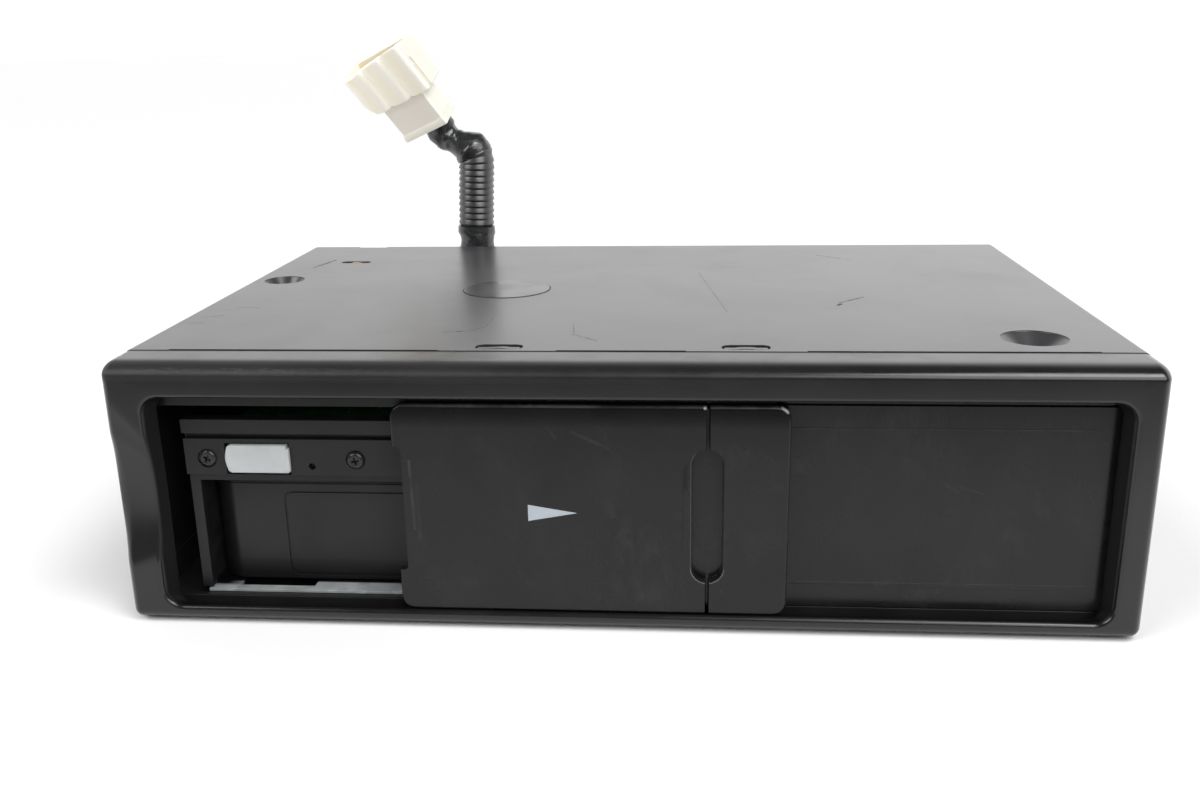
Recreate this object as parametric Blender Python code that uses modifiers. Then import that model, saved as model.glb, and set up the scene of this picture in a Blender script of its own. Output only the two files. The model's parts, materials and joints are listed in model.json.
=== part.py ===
"""Car disc changer: a flat box with a two-leaf sliding door, a six-disc magazine and a wiring loom.

The case lies on its bottom plate. X runs along the front from left to right, Y runs from the front
to the rear and Z is up. Every place below is measured from the middle of the front face at floor
level, and one empty carries the whole model back by half the case's depth, so that the world
origin is under the middle of the case. Lengths are in metres.
"""

import math

import bmesh
import bpy
from mathutils import Matrix, Vector

MM = 0.001

# Case and running gaps
CASE_WIDTH = 262.0 * MM
CASE_HEIGHT = 71.0 * MM
CASE_DEPTH = 174.6 * MM
GAP = 0.3 * MM
OVERRUN = 1.0 * MM
ROUND_STEPS = 4

# Moulded bezel
BEZEL_DEPTH = 13.7 * MM
BEZEL_WALL = 2.2 * MM
BEZEL_LIP = 4.2 * MM
EDGE_ROUND = 3.0 * MM
CORNER_ROUND = 3.4 * MM
LEFT_STILE = 13.0 * MM
RIGHT_STILE = 10.3 * MM
TOP_RAIL = 9.3 * MM
BOTTOM_RAIL = 3.9 * MM
OPENING_ROUND = 3.6 * MM
LIP_ROUND = 1.8 * MM
SCOOP_DEPTH = 3.3 * MM
SCOOP_HEIGHT = 35.0 * MM
SCOOP_DROP = 0.7 * MM

# Snap tongues of the bezel and the windows they catch in
SNAP_OFFSET = 31.7 * MM
SNAP_WIDTH = 14.0 * MM
SNAP_LENGTH = 9.0 * MM
SNAP_THICKNESS = 1.4 * MM
SNAP_ROOT = 2.5 * MM
NUB_RADIUS = 3.6 * MM
NUB_HEIGHT = 0.9 * MM
WINDOW_WIDTH = 12.4 * MM
WINDOW_LENGTH = 4.8 * MM
WINDOW_SETBACK = 2.9 * MM

# Sheet-metal cover
SHEET = 0.8 * MM
COVER_INSET = 1.0 * MM
COVER_BEND = 1.6 * MM
BOTTOM_SHEET = 1.0 * MM
SEAM_STEP = 0.4 * MM
SEAM_STEP_LENGTH = 4.0 * MM
TONGUE_HALF_WIDTH = 15.2 * MM
END_TONGUE = 11.8 * MM
NOTCH_INSET = 24.0 * MM
NOTCH_WIDTH = 10.8 * MM
NOTCH_LENGTH = 1.4 * MM
DISH_RIGHT_INSET = 24.0 * MM
DISH_RIGHT_SETBACK = 15.8 * MM
DISH_LEFT_INSET = 11.0 * MM
DISH_LEFT_FORWARD = 66.1 * MM
DISH_RADIUS = 8.5 * MM
DISH_LEFT_RADIUS = 6.6 * MM
DISH_DEPTH = 3.2 * MM
DISH_HOLE = 2.6 * MM
DISH_SEAT = 4.0 * MM
VIEW_SLOT_INSET = 26.4 * MM
VIEW_SLOT_FORWARD = 33.2 * MM
VIEW_SLOT_LENGTH = 10.6 * MM
VIEW_SLOT_WIDTH = 3.4 * MM
TAP_HEAD_RADIUS = 4.0 * MM
TAP_HEAD_HEIGHT = 1.4 * MM
TAP_SHANK_RADIUS = 1.6 * MM
TAP_SHANK_LENGTH = 6.0 * MM
SIDE_HOLE_RADIUS = 2.5 * MM
SIDE_HOLE_DROP = 0.5 * MM
SIDE_HOLE_FRONT = 45.0 * MM
SIDE_HOLE_SPACING = 90.0 * MM
STICKER_OFFSET = 4.4 * MM
STICKER_SETBACK = 4.3 * MM
STICKER_RADIUS = 13.7 * MM
STICKER_THICKNESS = 0.35 * MM
STICKER_SEAT = 0.5 * MM
SIDE_FLANGE = 8.0 * MM
REAR_RECESS = 2.4 * MM
LOUVRE_COUNT = 5
LOUVRE_WIDTH = 18.0 * MM
LOUVRE_HEIGHT = 1.8 * MM
LOUVRE_PITCH = 5.0 * MM
LOUVRE_X = 60.0 * MM
LOUVRE_DROP = 11.5 * MM

# Two-leaf sliding door
DOOR_SETBACK = 1.6 * MM
LEAF_THICKNESS = 2.3 * MM
LEAF_BOTTOM_GAP = 0.8 * MM
LEAF_TOP_GAP = 1.1 * MM
LEAF_ROUND = 3.4 * MM
LEAF_EDGE = 0.7 * MM
OUTER_LEAF_LEFT = -57.2 * MM
SPLIT_X = 22.15 * MM
SPLIT_GAP = 0.7 * MM
INNER_LEAF_RIGHT = 42.3 * MM
INNER_PLATE_LENGTH = 97.0 * MM
PLATE_THICKNESS = 1.3 * MM
HOOK_HEIGHT = 1.0 * MM
TONGUE_RISE = 1.8 * MM
TONGUE_SETBACK = 0.9 * MM
GRIP_WIDTH = 7.8 * MM
GRIP_HEIGHT = 35.6 * MM
GRIP_DROP = 1.05 * MM
LEFT_GRIP_DEPTH = 2.3 * MM
LEFT_GRIP_BELOW = 11.1 * MM
LEFT_GRIP_ABOVE = 11.0 * MM
LEFT_GRIP_SLOPE = 2.2 * MM

# Tracks behind the bezel
TRACK_THICKNESS = 2.0 * MM
TRACK_ROOF = 1.5 * MM
TRACK_DROP = 5.0 * MM
TRACK_STEP = 2.8 * MM
TRACK_BASE = 0.3 * MM
PANEL_RIB_HEIGHT = 0.4 * MM
PANEL_RIB_DEPTH = 0.15 * MM
PANEL_RIB_RISE = 7.5 * MM
PANEL_RIB_DROP = 8.1 * MM
PANEL_RIB_END = 3.6 * MM

# Frame round the disc bay and the plate with the eject button
BAY_INSET = 4.2 * MM
BAY_STRIP = 2.8 * MM
BAY_END_STRIP = 1.7 * MM
BAY_SLOT_GAP = 0.7 * MM
BAY_DROP = 7.1 * MM
BAY_FRAME_Y = 9.0 * MM
BAY_FRAME_THICKNESS = 2.0 * MM
LEDGE_HEIGHT = 3.8 * MM
LEDGE_FORWARD = 2.0 * MM
BUTTON_PLATE_RISE = 2.1 * MM
BUTTON_PLATE_HEIGHT = 9.9 * MM
BUTTON_PLATE_THICKNESS = 1.2 * MM
BUTTON_INSET = 11.2 * MM
BUTTON_WIDTH = 16.6 * MM
BUTTON_HEIGHT = 8.4 * MM
BUTTON_FORWARD = 1.0 * MM
BUTTON_TRAVEL = 2.5 * MM
BUTTON_ROUND = 0.9 * MM
BUTTON_DEPTH = 6.2 * MM
BUTTON_STOP = 1.2 * MM
PIN_HOLE_INSET = 33.8 * MM
PIN_HOLE_RISE = 2.5 * MM
PIN_HOLE_RADIUS = 0.9 * MM
SCREW_LEFT_INSET = 6.0 * MM
SCREW_RIGHT_INSET = 45.4 * MM
SCREW_RISE = 4.5 * MM
SCREW_HEAD_RADIUS = 2.2 * MM
SCREW_HEAD_HEIGHT = 1.1 * MM
SCREW_SHANK_RADIUS = 1.0 * MM
SCREW_SHANK_LENGTH = 4.0 * MM
SCREW_SEAT_DEPTH = 0.5 * MM
SCREW_SOCKET_WIDTH = 0.6 * MM
SCREW_SOCKET_DEPTH = 0.6 * MM

# Magazine, trays and discs
PLAYER_WIDTH = 133.0 * MM
MAGAZINE_REAR_ROOM = 19.6 * MM
MAGAZINE_FRONT = 15.0 * MM
MAGAZINE_SKIN = 1.3 * MM
MAGAZINE_SIDE = 1.6 * MM
MAGAZINE_FRONT_WALL = 9.0 * MM
MAGAZINE_ROUND = 1.2 * MM
LABEL_MARGIN = 19.6 * MM
LABEL_BOTTOM = 4.2 * MM
LABEL_TOP = 4.4 * MM
LABEL_DEPTH = 0.35 * MM
LABEL_ROUND = 2.4 * MM
LABEL_LINE = 0.5 * MM
TRAY_COUNT = 6
TRAY_PITCH = 4.6 * MM
TRAY_THICKNESS = 2.2 * MM
TRAY_CORNER = 2.0 * MM
LEDGE_THICKNESS = 1.0 * MM
LEDGE_REACH = 1.6 * MM
DISC_MARGIN = 3.4 * MM
DISC_THICKNESS = 1.2 * MM
DISC_BORE = 7.5 * MM
TRAY_SEAT_DEPTH = 1.0 * MM
TRAY_CENTRE_HOLE = 19.0 * MM
PULL_NOTCH_RADIUS = 3.0 * MM
PULL_NOTCH_INSET = 9.0 * MM

# Plated cage that guides the magazine
CAGE_FLOOR_Z = 5.2 * MM
CAGE_FRONT = 8.6 * MM
CAGE_REAR_MARGIN = 6.0 * MM
CAGE_TOP_SETBACK = 11.4 * MM
CAGE_SIDE_GAP = 0.6 * MM
CAGE_HEADROOM = 0.9 * MM
CAGE_NOTCH_INSET = 7.9 * MM
CAGE_NOTCH_WIDTH = 20.6 * MM
CAGE_NOTCH_FRONT = 2.6 * MM
CAGE_NOTCH_LENGTH = 5.6 * MM
DAMPER_RADIUS = 6.0 * MM
DAMPER_WAIST = 4.6 * MM
DAMPER_INSET_X = 12.0 * MM
DAMPER_INSET_FRONT = 17.0 * MM
DAMPER_INSET_REAR = 15.0 * MM
STANDOFF_RADIUS = 2.6 * MM

# Circuit board over the magazine
STANDOFF_HEIGHT = 7.5 * MM
BOARD_THICKNESS = 1.6 * MM
BOARD_MARGIN = 4.0 * MM
BOARD_FRONT = 20.0 * MM
BOARD_REAR_MARGIN = 6.6 * MM
BOARD_INSET = 7.0 * MM
CHIP_SIZE = 18.0 * MM
CHIP_HEIGHT = 2.4 * MM
CHIP_INSET_X = 48.1 * MM
CHIP_INSET_Y = 60.0 * MM
CAPACITOR_RADIUS = 6.0 * MM
CAPACITOR_HEIGHT = 16.0 * MM
CAPACITOR_INSET_X = 10.1 * MM
CAPACITOR_INSET_Y = 40.0 * MM
SOCKET_WIDTH = 24.0 * MM
SOCKET_DEPTH = 9.0 * MM
SOCKET_HEIGHT = 10.0 * MM
SOCKET_WALL = 1.2 * MM
SOCKET_CAVITY = 7.0 * MM

# Playing unit on its lift
LIFT_TRAVEL = 26.0 * MM
LIFT_DROP = 20.2 * MM
LIFT_PLATE_THICKNESS = 1.4 * MM
LIFT_LEFT_GAP = 3.4 * MM
SPINDLE_INSET = 26.7 * MM
LIFT_RIGHT_INSET = 4.4 * MM
LIFT_FRONT = 24.0 * MM
LIFT_REAR_MARGIN = 7.6 * MM
LIFT_CORNER = 4.0 * MM
POST_RADIUS = 2.0 * MM
POST_CLEARANCE = 0.4 * MM
BUSH_WALL = 1.9 * MM
BUSH_BELOW = 6.0 * MM
BUSH_ABOVE = 7.0 * MM
POST_INSET_X = 4.6 * MM
POST_INSET_FRONT = 7.0 * MM
POST_INSET_REAR = 21.0 * MM
POST_ARM_INSET = 6.0 * MM
MOTOR_RADIUS = 12.0 * MM
MOTOR_HEIGHT = 8.0 * MM
MOTOR_BORE = 1.7 * MM
TURNTABLE_RADIUS = 14.0 * MM
TURNTABLE_THICKNESS = 1.6 * MM
TURNTABLE_BOSS = 1.4 * MM
TURNTABLE_BOSS_RADIUS = 7.2 * MM
TURNTABLE_HUB_RADIUS = 3.0 * MM
SHAFT_RADIUS = 1.2 * MM
SHAFT_LENGTH = 7.0 * MM
HUB_RISE = 0.9 * MM
PICKUP_START_GAP = 0.6 * MM
PICKUP_LENGTH = 20.0 * MM
PICKUP_WIDTH = 50.0 * MM
PICKUP_HEIGHT = 7.0 * MM
PICKUP_TRAVEL = 33.0 * MM
LENS_RADIUS = 3.5 * MM
LENS_HEIGHT = 1.0 * MM
ROD_RADIUS = 1.5 * MM
ROD_CLEARANCE = 0.3 * MM
ROD_SPACING = 30.0 * MM
ROD_START_GAP = 2.7 * MM
ROD_END_INSET = 2.2 * MM
ROD_DROP = 4.6 * MM
BRACKET_THICKNESS = 2.0 * MM
BRACKET_DROP = 7.2 * MM
BRACKET_HALF_WIDTH = 26.6 * MM
SCREW_THREAD_OFFSET = 22.0 * MM
FEED_MOTOR_RADIUS = 4.6 * MM
FEED_MOTOR_LENGTH = 9.0 * MM
FEED_MOTOR_NOSE = 1.2 * MM

# Clamp arm below the lowest disc
ARM_Z = 2.6 * MM
ARM_THICKNESS = 1.2 * MM
ARM_WIDTH = 12.0 * MM
ARM_TRAVEL = 3.5 * MM
ARM_BUSH_HEIGHT = 8.0 * MM
PUCK_RADIUS = 12.0 * MM
PUCK_THICKNESS = 2.4 * MM
PUCK_STEM_RADIUS = 3.0 * MM
PUCK_CAP_RADIUS = 5.0 * MM
PUCK_CAP = 0.8 * MM

# Cam plate that drives the lift
CAM_THICKNESS = 1.0 * MM
CAM_RATIO = 1.5
CAM_PIN_RADIUS = 1.5 * MM
CAM_CLEARANCE = 0.35 * MM
CAM_PIN_FORWARD = 34.0 * MM
CAM_MARGIN = 6.0 * MM
CAM_TOP_MARGIN = 5.0 * MM
CAM_LIGHTENING_RADIUS = 6.0 * MM

# Wiring loom and its connector
GROMMET_FLANGE_RADIUS = 9.6 * MM
GROMMET_FLANGE = 1.6 * MM
GROMMET_NECK_RADIUS = 7.4 * MM
WIRE_RADIUS = 4.0 * MM
WIRE_CLEARANCE = 0.7 * MM
TAPED_RADIUS = 6.7 * MM
RIB_RADIUS = 7.1 * MM
RIB_ROOT_RADIUS = 6.1 * MM
LOOM_BORE_RADIUS = 5.5 * MM
RIB_PITCH = 2.3 * MM
LOOM_COLLAR = 1.6 * MM
SHELL_LENGTH = 17.0 * MM
SHELL_WIDTH = 31.0 * MM
SHELL_HEIGHT = 15.0 * MM
SHELL_WALL = 1.4 * MM
SHELL_FLOOR = 4.0 * MM
HOLDER_LENGTH = 15.4 * MM
HOLDER_WIDTH = 20.4 * MM
HOLDER_HEIGHT = 11.0 * MM
COLLAR_LENGTH = 3.0 * MM
COLLAR_RISE = 0.5 * MM
LOBE_COUNT = 3
LOBE_GROOVE_WIDTH = 2.4 * MM
LOBE_GROOVE_DEPTH = 1.6 * MM

# The route of the wires, chosen by hand from the rear panel up to the connector
ROUTE = [
    (-70.0 * MM, 171.8 * MM, 36.0 * MM),
    (-70.0 * MM, 178.0 * MM, 36.0 * MM),
    (-70.0 * MM, 185.4 * MM, 38.8 * MM),
    (-69.9 * MM, 191.8 * MM, 45.0 * MM),
    (-69.8 * MM, 195.2 * MM, 53.5 * MM),
    (-69.5 * MM, 196.0 * MM, 63.0 * MM),
    (-69.0 * MM, 196.0 * MM, 76.0 * MM),
    (-68.4 * MM, 196.0 * MM, 90.0 * MM),
    (-67.8 * MM, 196.0 * MM, 103.2 * MM),
    (-69.3 * MM, 196.0 * MM, 107.0 * MM),
    (-73.8 * MM, 195.8 * MM, 110.0 * MM),
    (-78.6 * MM, 195.8 * MM, 113.0 * MM),
    (-81.2 * MM, 193.9 * MM, 117.0 * MM),
]
CONNECTOR_BASE = (-85.2 * MM, 195.3 * MM, 115.8 * MM)
ROUTE_STEPS = 3
ROUTE_RADIUS_SHARES = [1, 1, 1, 1, 1, 1, 1, 1, 1.05, 1.4, 1.4, 1.25, 1.1]
CONNECTOR_AXIS = Vector((-0.50, -0.38, 0.78))
CONNECTOR_ACROSS = Vector((0.86, -0.36, 0.36))
TAPED_FIRST = 1
LOOM_FIRST = 6
LOOM_LAST = 8

# Sizes that follow from the ones above
HALF_WIDTH = CASE_WIDTH / 2
OPENING_LEFT = LEFT_STILE - HALF_WIDTH
OPENING_RIGHT = HALF_WIDTH - RIGHT_STILE
OPENING_BOTTOM = BOTTOM_RAIL
OPENING_TOP = CASE_HEIGHT - TOP_RAIL
COVER_HALF = HALF_WIDTH - COVER_INSET
COVER_FRONT = BEZEL_DEPTH + GAP
COVER_UNDER = CASE_HEIGHT - SHEET
SCOOP_MIDDLE = CASE_HEIGHT / 2 - SCOOP_DROP
SIDE_HOLE_HEIGHT = CASE_HEIGHT / 2 - SIDE_HOLE_DROP
LOUVRE_Z = CASE_HEIGHT / 2 - LOUVRE_DROP
DISH_RIGHT_X = COVER_HALF - DISH_RIGHT_INSET
DISH_RIGHT_Y = COVER_FRONT + DISH_RIGHT_SETBACK
DISH_LEFT_X = DISH_LEFT_INSET - COVER_HALF
DISH_LEFT_Y = CASE_DEPTH - DISH_LEFT_FORWARD
NOTCH_X = NOTCH_INSET - COVER_HALF
VIEW_SLOT_X = VIEW_SLOT_INSET - COVER_HALF
VIEW_SLOT_Y = CASE_DEPTH - VIEW_SLOT_FORWARD
LEAF_BOTTOM = OPENING_BOTTOM + LEAF_BOTTOM_GAP
LEAF_TOP = OPENING_TOP - LEAF_TOP_GAP
GRIP_MIDDLE = (LEAF_BOTTOM + LEAF_TOP) / 2 - GRIP_DROP
LEFT_GRIP_LOW = LEAF_BOTTOM + LEFT_GRIP_BELOW
LEFT_GRIP_HIGH = LEAF_TOP - LEFT_GRIP_ABOVE
LEAF_BACK = DOOR_SETBACK + LEAF_THICKNESS
PLATE_FRONT = BEZEL_LIP + GAP
PLATE_BACK = PLATE_FRONT + PLATE_THICKNESS
OUTER_LEAF_RIGHT = SPLIT_X - SPLIT_GAP / 2
INNER_LEAF_LEFT = SPLIT_X + SPLIT_GAP / 2
INNER_TRAVEL = OPENING_RIGHT - GAP - INNER_LEAF_RIGHT
OUTER_TRAVEL = OUTER_LEAF_LEFT - OPENING_LEFT - GAP
TONGUE_TOP = LEAF_TOP + TONGUE_SETBACK + TONGUE_RISE
TONGUE_BOTTOM = LEAF_BOTTOM - TONGUE_RISE
PANEL_RIB_LOW = OPENING_BOTTOM + PANEL_RIB_RISE
PANEL_RIB_HIGH = OPENING_TOP - PANEL_RIB_DROP
PANEL_FRONT = PLATE_BACK + GAP
PANEL_BACK = PANEL_FRONT + TRACK_THICKNESS
BAY_LEFT = OPENING_LEFT + BAY_INSET
BAY_TOP = OPENING_TOP - BAY_DROP
SLOT_LEFT = BAY_LEFT + BAY_STRIP
SHEET_FLOOR_TOP = CAGE_FLOOR_Z + SHEET
BUTTON_PLATE_Y = BAY_FRAME_Y - GAP - BUTTON_PLATE_THICKNESS
MAGAZINE_WIDTH = CASE_WIDTH - PLAYER_WIDTH
MAGAZINE_LEFT = SLOT_LEFT + GAP
MAGAZINE_RIGHT = MAGAZINE_LEFT + MAGAZINE_WIDTH
BAY_RIGHT = MAGAZINE_RIGHT + GAP + BAY_END_STRIP
PANEL_LEFT = BAY_RIGHT + GAP
MAGAZINE_BOTTOM = SHEET_FLOOR_TOP + GAP
CAVITY_BOTTOM = MAGAZINE_BOTTOM + MAGAZINE_SKIN
CAVITY_HEIGHT = TRAY_COUNT * TRAY_PITCH
MAGAZINE_TOP = CAVITY_BOTTOM + CAVITY_HEIGHT + MAGAZINE_SKIN
MAGAZINE_DEPTH = CASE_DEPTH - MAGAZINE_FRONT - MAGAZINE_REAR_ROOM
MAGAZINE_REAR = MAGAZINE_FRONT + MAGAZINE_DEPTH
CAVITY_LEFT = MAGAZINE_LEFT + MAGAZINE_SIDE
CAVITY_FRONT = MAGAZINE_FRONT + MAGAZINE_FRONT_WALL
CAVITY_REAR = MAGAZINE_REAR - MAGAZINE_SIDE
TRAY_LEFT = CAVITY_LEFT + GAP
TRAY_RIGHT = MAGAZINE_RIGHT - GAP
TRAY_FRONT = CAVITY_FRONT + GAP
TRAY_REAR = CAVITY_REAR - GAP
TRAY_X = (TRAY_LEFT + TRAY_RIGHT) / 2
TRAY_Y = (TRAY_FRONT + TRAY_REAR) / 2
DISC_RADIUS = min(TRAY_RIGHT - TRAY_LEFT, TRAY_REAR - TRAY_FRONT) / 2 - DISC_MARGIN
SPINDLE_Y = TRAY_Y
STICKER_X = TRAY_X + STICKER_OFFSET
STICKER_Y = TRAY_Y + STICKER_SETBACK
CAGE_LEFT = MAGAZINE_LEFT - CAGE_SIDE_GAP - SHEET
CAGE_RIGHT = MAGAZINE_RIGHT + GAP
BAY_SLOT_TOP = MAGAZINE_TOP + BAY_SLOT_GAP
BUTTON_PLATE_BOTTOM = BAY_SLOT_TOP + BUTTON_PLATE_RISE
BUTTON_LEFT = BAY_LEFT + BUTTON_INSET
PIN_HOLE_X = BAY_LEFT + PIN_HOLE_INSET
PIN_HOLE_Z = BUTTON_PLATE_BOTTOM + PIN_HOLE_RISE
SCREW_LEFT_X = BAY_LEFT + SCREW_LEFT_INSET
SCREW_RIGHT_X = BAY_LEFT + SCREW_RIGHT_INSET
SCREW_Z = BUTTON_PLATE_BOTTOM + SCREW_RISE
CAGE_CEILING = MAGAZINE_TOP + CAGE_HEADROOM
CAGE_TOP = CAGE_CEILING + SHEET
CAGE_REAR = MAGAZINE_REAR + CAGE_REAR_MARGIN
REAR_PANEL_FRONT = CASE_DEPTH - REAR_RECESS - SHEET
REAR_PANEL_BACK = CASE_DEPTH - REAR_RECESS
BOARD_Z = CAGE_TOP + STANDOFF_HEIGHT + GAP
BOARD_REAR = CASE_DEPTH - BOARD_REAR_MARGIN
BOARD_LEFT = CAGE_LEFT + BOARD_MARGIN
BOARD_RIGHT = CAGE_RIGHT - BOARD_MARGIN
CHIP_X = BOARD_LEFT + CHIP_INSET_X
CHIP_Y = BOARD_FRONT + CHIP_INSET_Y
CAPACITOR_X = BOARD_LEFT + CAPACITOR_INSET_X
CAPACITOR_Y = BOARD_FRONT + CAPACITOR_INSET_Y
LIFT_PLATE_Z = COVER_UNDER - LIFT_DROP
LIFT_LEFT = PANEL_LEFT + LIFT_LEFT_GAP
SPINDLE_X = LIFT_LEFT + SPINDLE_INSET
LIFT_RIGHT = COVER_HALF - LIFT_RIGHT_INSET
LIFT_REAR = CASE_DEPTH - LIFT_REAR_MARGIN
POST_RIGHT_X = LIFT_RIGHT - POST_INSET_X
POST_FRONT_Y = LIFT_FRONT + POST_INSET_FRONT
POST_REAR_Y = LIFT_REAR - POST_INSET_REAR
POST_ARM_Y = LIFT_REAR - POST_ARM_INSET
ROD_START = SPINDLE_X + MOTOR_RADIUS + ROD_START_GAP
ROD_END = LIFT_RIGHT - ROD_END_INSET
PICKUP_X = ROD_START + BRACKET_THICKNESS + PICKUP_START_GAP + PICKUP_LENGTH / 2
MOTOR_TOP = LIFT_PLATE_Z - GAP
MOTOR_BOTTOM = MOTOR_TOP - MOTOR_HEIGHT
ROD_Z = LIFT_PLATE_Z - ROD_DROP
PICKUP_TOP = LIFT_PLATE_Z - 3 * GAP
PICKUP_BOTTOM = PICKUP_TOP - PICKUP_HEIGHT
BUSH_RADIUS = POST_RADIUS + POST_CLEARANCE + BUSH_WALL
CAM_LEFT = LIFT_RIGHT + 3 * GAP
CAM_TRAVEL = CAM_RATIO * LIFT_TRAVEL
CAM_PIN_Y = POST_REAR_Y - CAM_PIN_FORWARD
CAM_PIN_Z = LIFT_PLATE_Z + LIFT_PLATE_THICKNESS / 2
PUCK_BOTTOM = ARM_Z + ARM_THICKNESS + GAP

parts = bpy.data.collections.new("cd_changer")
cutters = bpy.data.collections.new("cutters")


def clear_scene():
    """Removes the objects of the start-up scene and links the two collections."""
    for old in list(bpy.data.objects):
        bpy.data.objects.remove(old, do_unlink=True)
    for group in (parts, cutters):
        bpy.context.scene.collection.children.link(group)


def make_root():
    """The empty that puts the world origin under the middle of the case."""
    empty = bpy.data.objects.new("case_origin", None)
    empty.location = (0, -CASE_DEPTH / 2, 0)
    parts.objects.link(empty)
    return empty


def look(name, colour, roughness, metallic=0.0):
    """A Principled material with one colour, roughness and metallic value."""
    material = bpy.data.materials.new(name)
    material.use_nodes = True
    shader = material.node_tree.nodes["Principled BSDF"]
    shader.inputs["Base Color"].default_value = (*colour, 1.0)
    shader.inputs["Roughness"].default_value = roughness
    shader.inputs["Metallic"].default_value = metallic
    return material


clear_scene()
ROOT = make_root()
BLACK_MOULDING = look("black_moulding", (0.022, 0.022, 0.024), 0.42)
BLACK_DOOR = look("black_door", (0.020, 0.019, 0.021), 0.36)
BLACK_FRAME = look("black_frame", (0.016, 0.016, 0.017), 0.50)
BLACK_PAINT = look("black_paint", (0.030, 0.030, 0.033), 0.30, 0.2)
WHITE_BUTTON = look("white_button", (0.62, 0.65, 0.66), 0.45)
ZINC = look("zinc_sheet", (0.55, 0.57, 0.58), 0.32, 1.0)
STEEL = look("steel", (0.50, 0.50, 0.52), 0.28, 1.0)
BLACK_SCREW = look("black_screw", (0.05, 0.05, 0.052), 0.35, 0.7)
BRASS = look("brass", (0.70, 0.42, 0.16), 0.35, 1.0)
MAGAZINE_PLASTIC = look("magazine_plastic", (0.018, 0.018, 0.020), 0.48)
TRAY_PLASTIC = look("tray_plastic", (0.10, 0.10, 0.11), 0.50)
DISC_SURFACE = look("disc_surface", (0.75, 0.76, 0.78), 0.12, 0.9)
BOARD_GREEN = look("board_green", (0.03, 0.16, 0.07), 0.45)
CHIP_BLACK = look("chip_black", (0.02, 0.02, 0.02), 0.55)
WHITE_ACETAL = look("white_acetal", (0.74, 0.74, 0.70), 0.42)
BLACK_LABEL = look("black_label", (0.030, 0.030, 0.033), 0.34)
PICKUP_PLASTIC = look("pickup_plastic", (0.02, 0.02, 0.02), 0.5)
RUBBER = look("rubber", (0.03, 0.03, 0.03), 0.75)
TAPE = look("cloth_tape", (0.035, 0.036, 0.038), 0.55)
LOOM_BLACK = look("loom_black", (0.03, 0.03, 0.032), 0.40)
CONNECTOR_IVORY = look("connector_ivory", (0.86, 0.82, 0.72), 0.45)


def link(name, mesh, material):
    """Makes an object of a mesh: a part where it has a material, else a cutter."""
    thing = bpy.data.objects.new(name, mesh)
    thing.parent = ROOT
    if material is None:
        cutters.objects.link(thing)
        thing.hide_render = True
        thing.display_type = "WIRE"
    else:
        mesh.materials.clear()
        mesh.materials.append(material)
        parts.objects.link(thing)
    return thing


def block(name, low, high, material=None):
    """A box between two corners, with its origin at its middle."""
    size = [b - a for a, b in zip(low, high)]
    mesh = bpy.data.meshes.new(name)
    shape = bmesh.new()
    bmesh.ops.create_cube(shape, size=1.0, matrix=Matrix.Diagonal((*size, 1.0)))
    shape.to_mesh(mesh)
    shape.free()
    thing = link(name, mesh, material)
    thing.location = [(a + b) / 2 for a, b in zip(low, high)]
    return thing


def turn_to(axis):
    """The rotation that takes Z to a named axis."""
    if axis == "X":
        return Matrix.Rotation(math.pi / 2, 4, "Y")
    if axis == "Y":
        return Matrix.Rotation(-math.pi / 2, 4, "X")
    return Matrix.Identity(4)


def drum(name, base, length, radius, axis="Z", material=None, sides=24, end_radius=None):
    """A cylinder or cone from a base point along an axis."""
    mesh = bpy.data.meshes.new(name)
    shape = bmesh.new()
    bmesh.ops.create_cone(
        shape,
        cap_ends=True,
        segments=sides,
        radius1=radius,
        radius2=radius if end_radius is None else end_radius,
        depth=length,
        matrix=turn_to(axis) @ Matrix.Translation((0, 0, length / 2)),
    )
    shape.to_mesh(mesh)
    shape.free()
    thing = link(name, mesh, material)
    thing.location = base
    return thing


def turned(name, profile, place, material=None, axis="Z", steps=32):
    """A solid of revolution: the profile is a closed loop of (radius, height) pairs."""
    mesh = bpy.data.meshes.new(name)
    count = len(profile)
    edges = [(i, i + 1) for i in range(count - 1)]
    if profile[0][0] > 0 or profile[-1][0] > 0:
        edges.append((count - 1, 0))
    mesh.from_pydata([(r, 0, h) for r, h in profile], edges, [])
    thing = link(name, mesh, material)
    screw = thing.modifiers.new("turn", "SCREW")
    screw.axis = "Z"
    screw.steps = steps
    screw.render_steps = steps
    screw.use_merge_vertices = True
    screw.merge_threshold = 0.00001
    thing.location = place
    thing.rotation_euler = turn_to(axis).to_euler()
    return thing


def arc(middle, radius, start, end, steps=ROUND_STEPS):
    """Points on an arc between two angles in degrees."""
    turns = [math.radians(start + (end - start) * i / steps) for i in range(steps + 1)]
    return [(middle[0] + radius * math.cos(t), middle[1] + radius * math.sin(t)) for t in turns]


def rounded(left, bottom, right, top, radius, steps=ROUND_STEPS):
    """The outline of a rectangle with round corners, anticlockwise."""
    corners = [
        ((right - radius, bottom + radius), -90),
        ((right - radius, top - radius), 0),
        ((left + radius, top - radius), 90),
        ((left + radius, bottom + radius), 180),
    ]
    return [p for middle, start in corners for p in arc(middle, radius, start, start + 90, steps)]


def circle(x, y, radius, steps=24):
    """The outline of a circle."""
    return arc((x, y), radius, 0, 360, steps)[:-1]


def rectangle(left, bottom, right, top):
    """The outline of a plain rectangle."""
    return [(left, bottom), (right, bottom), (right, top), (left, top)]


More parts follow.
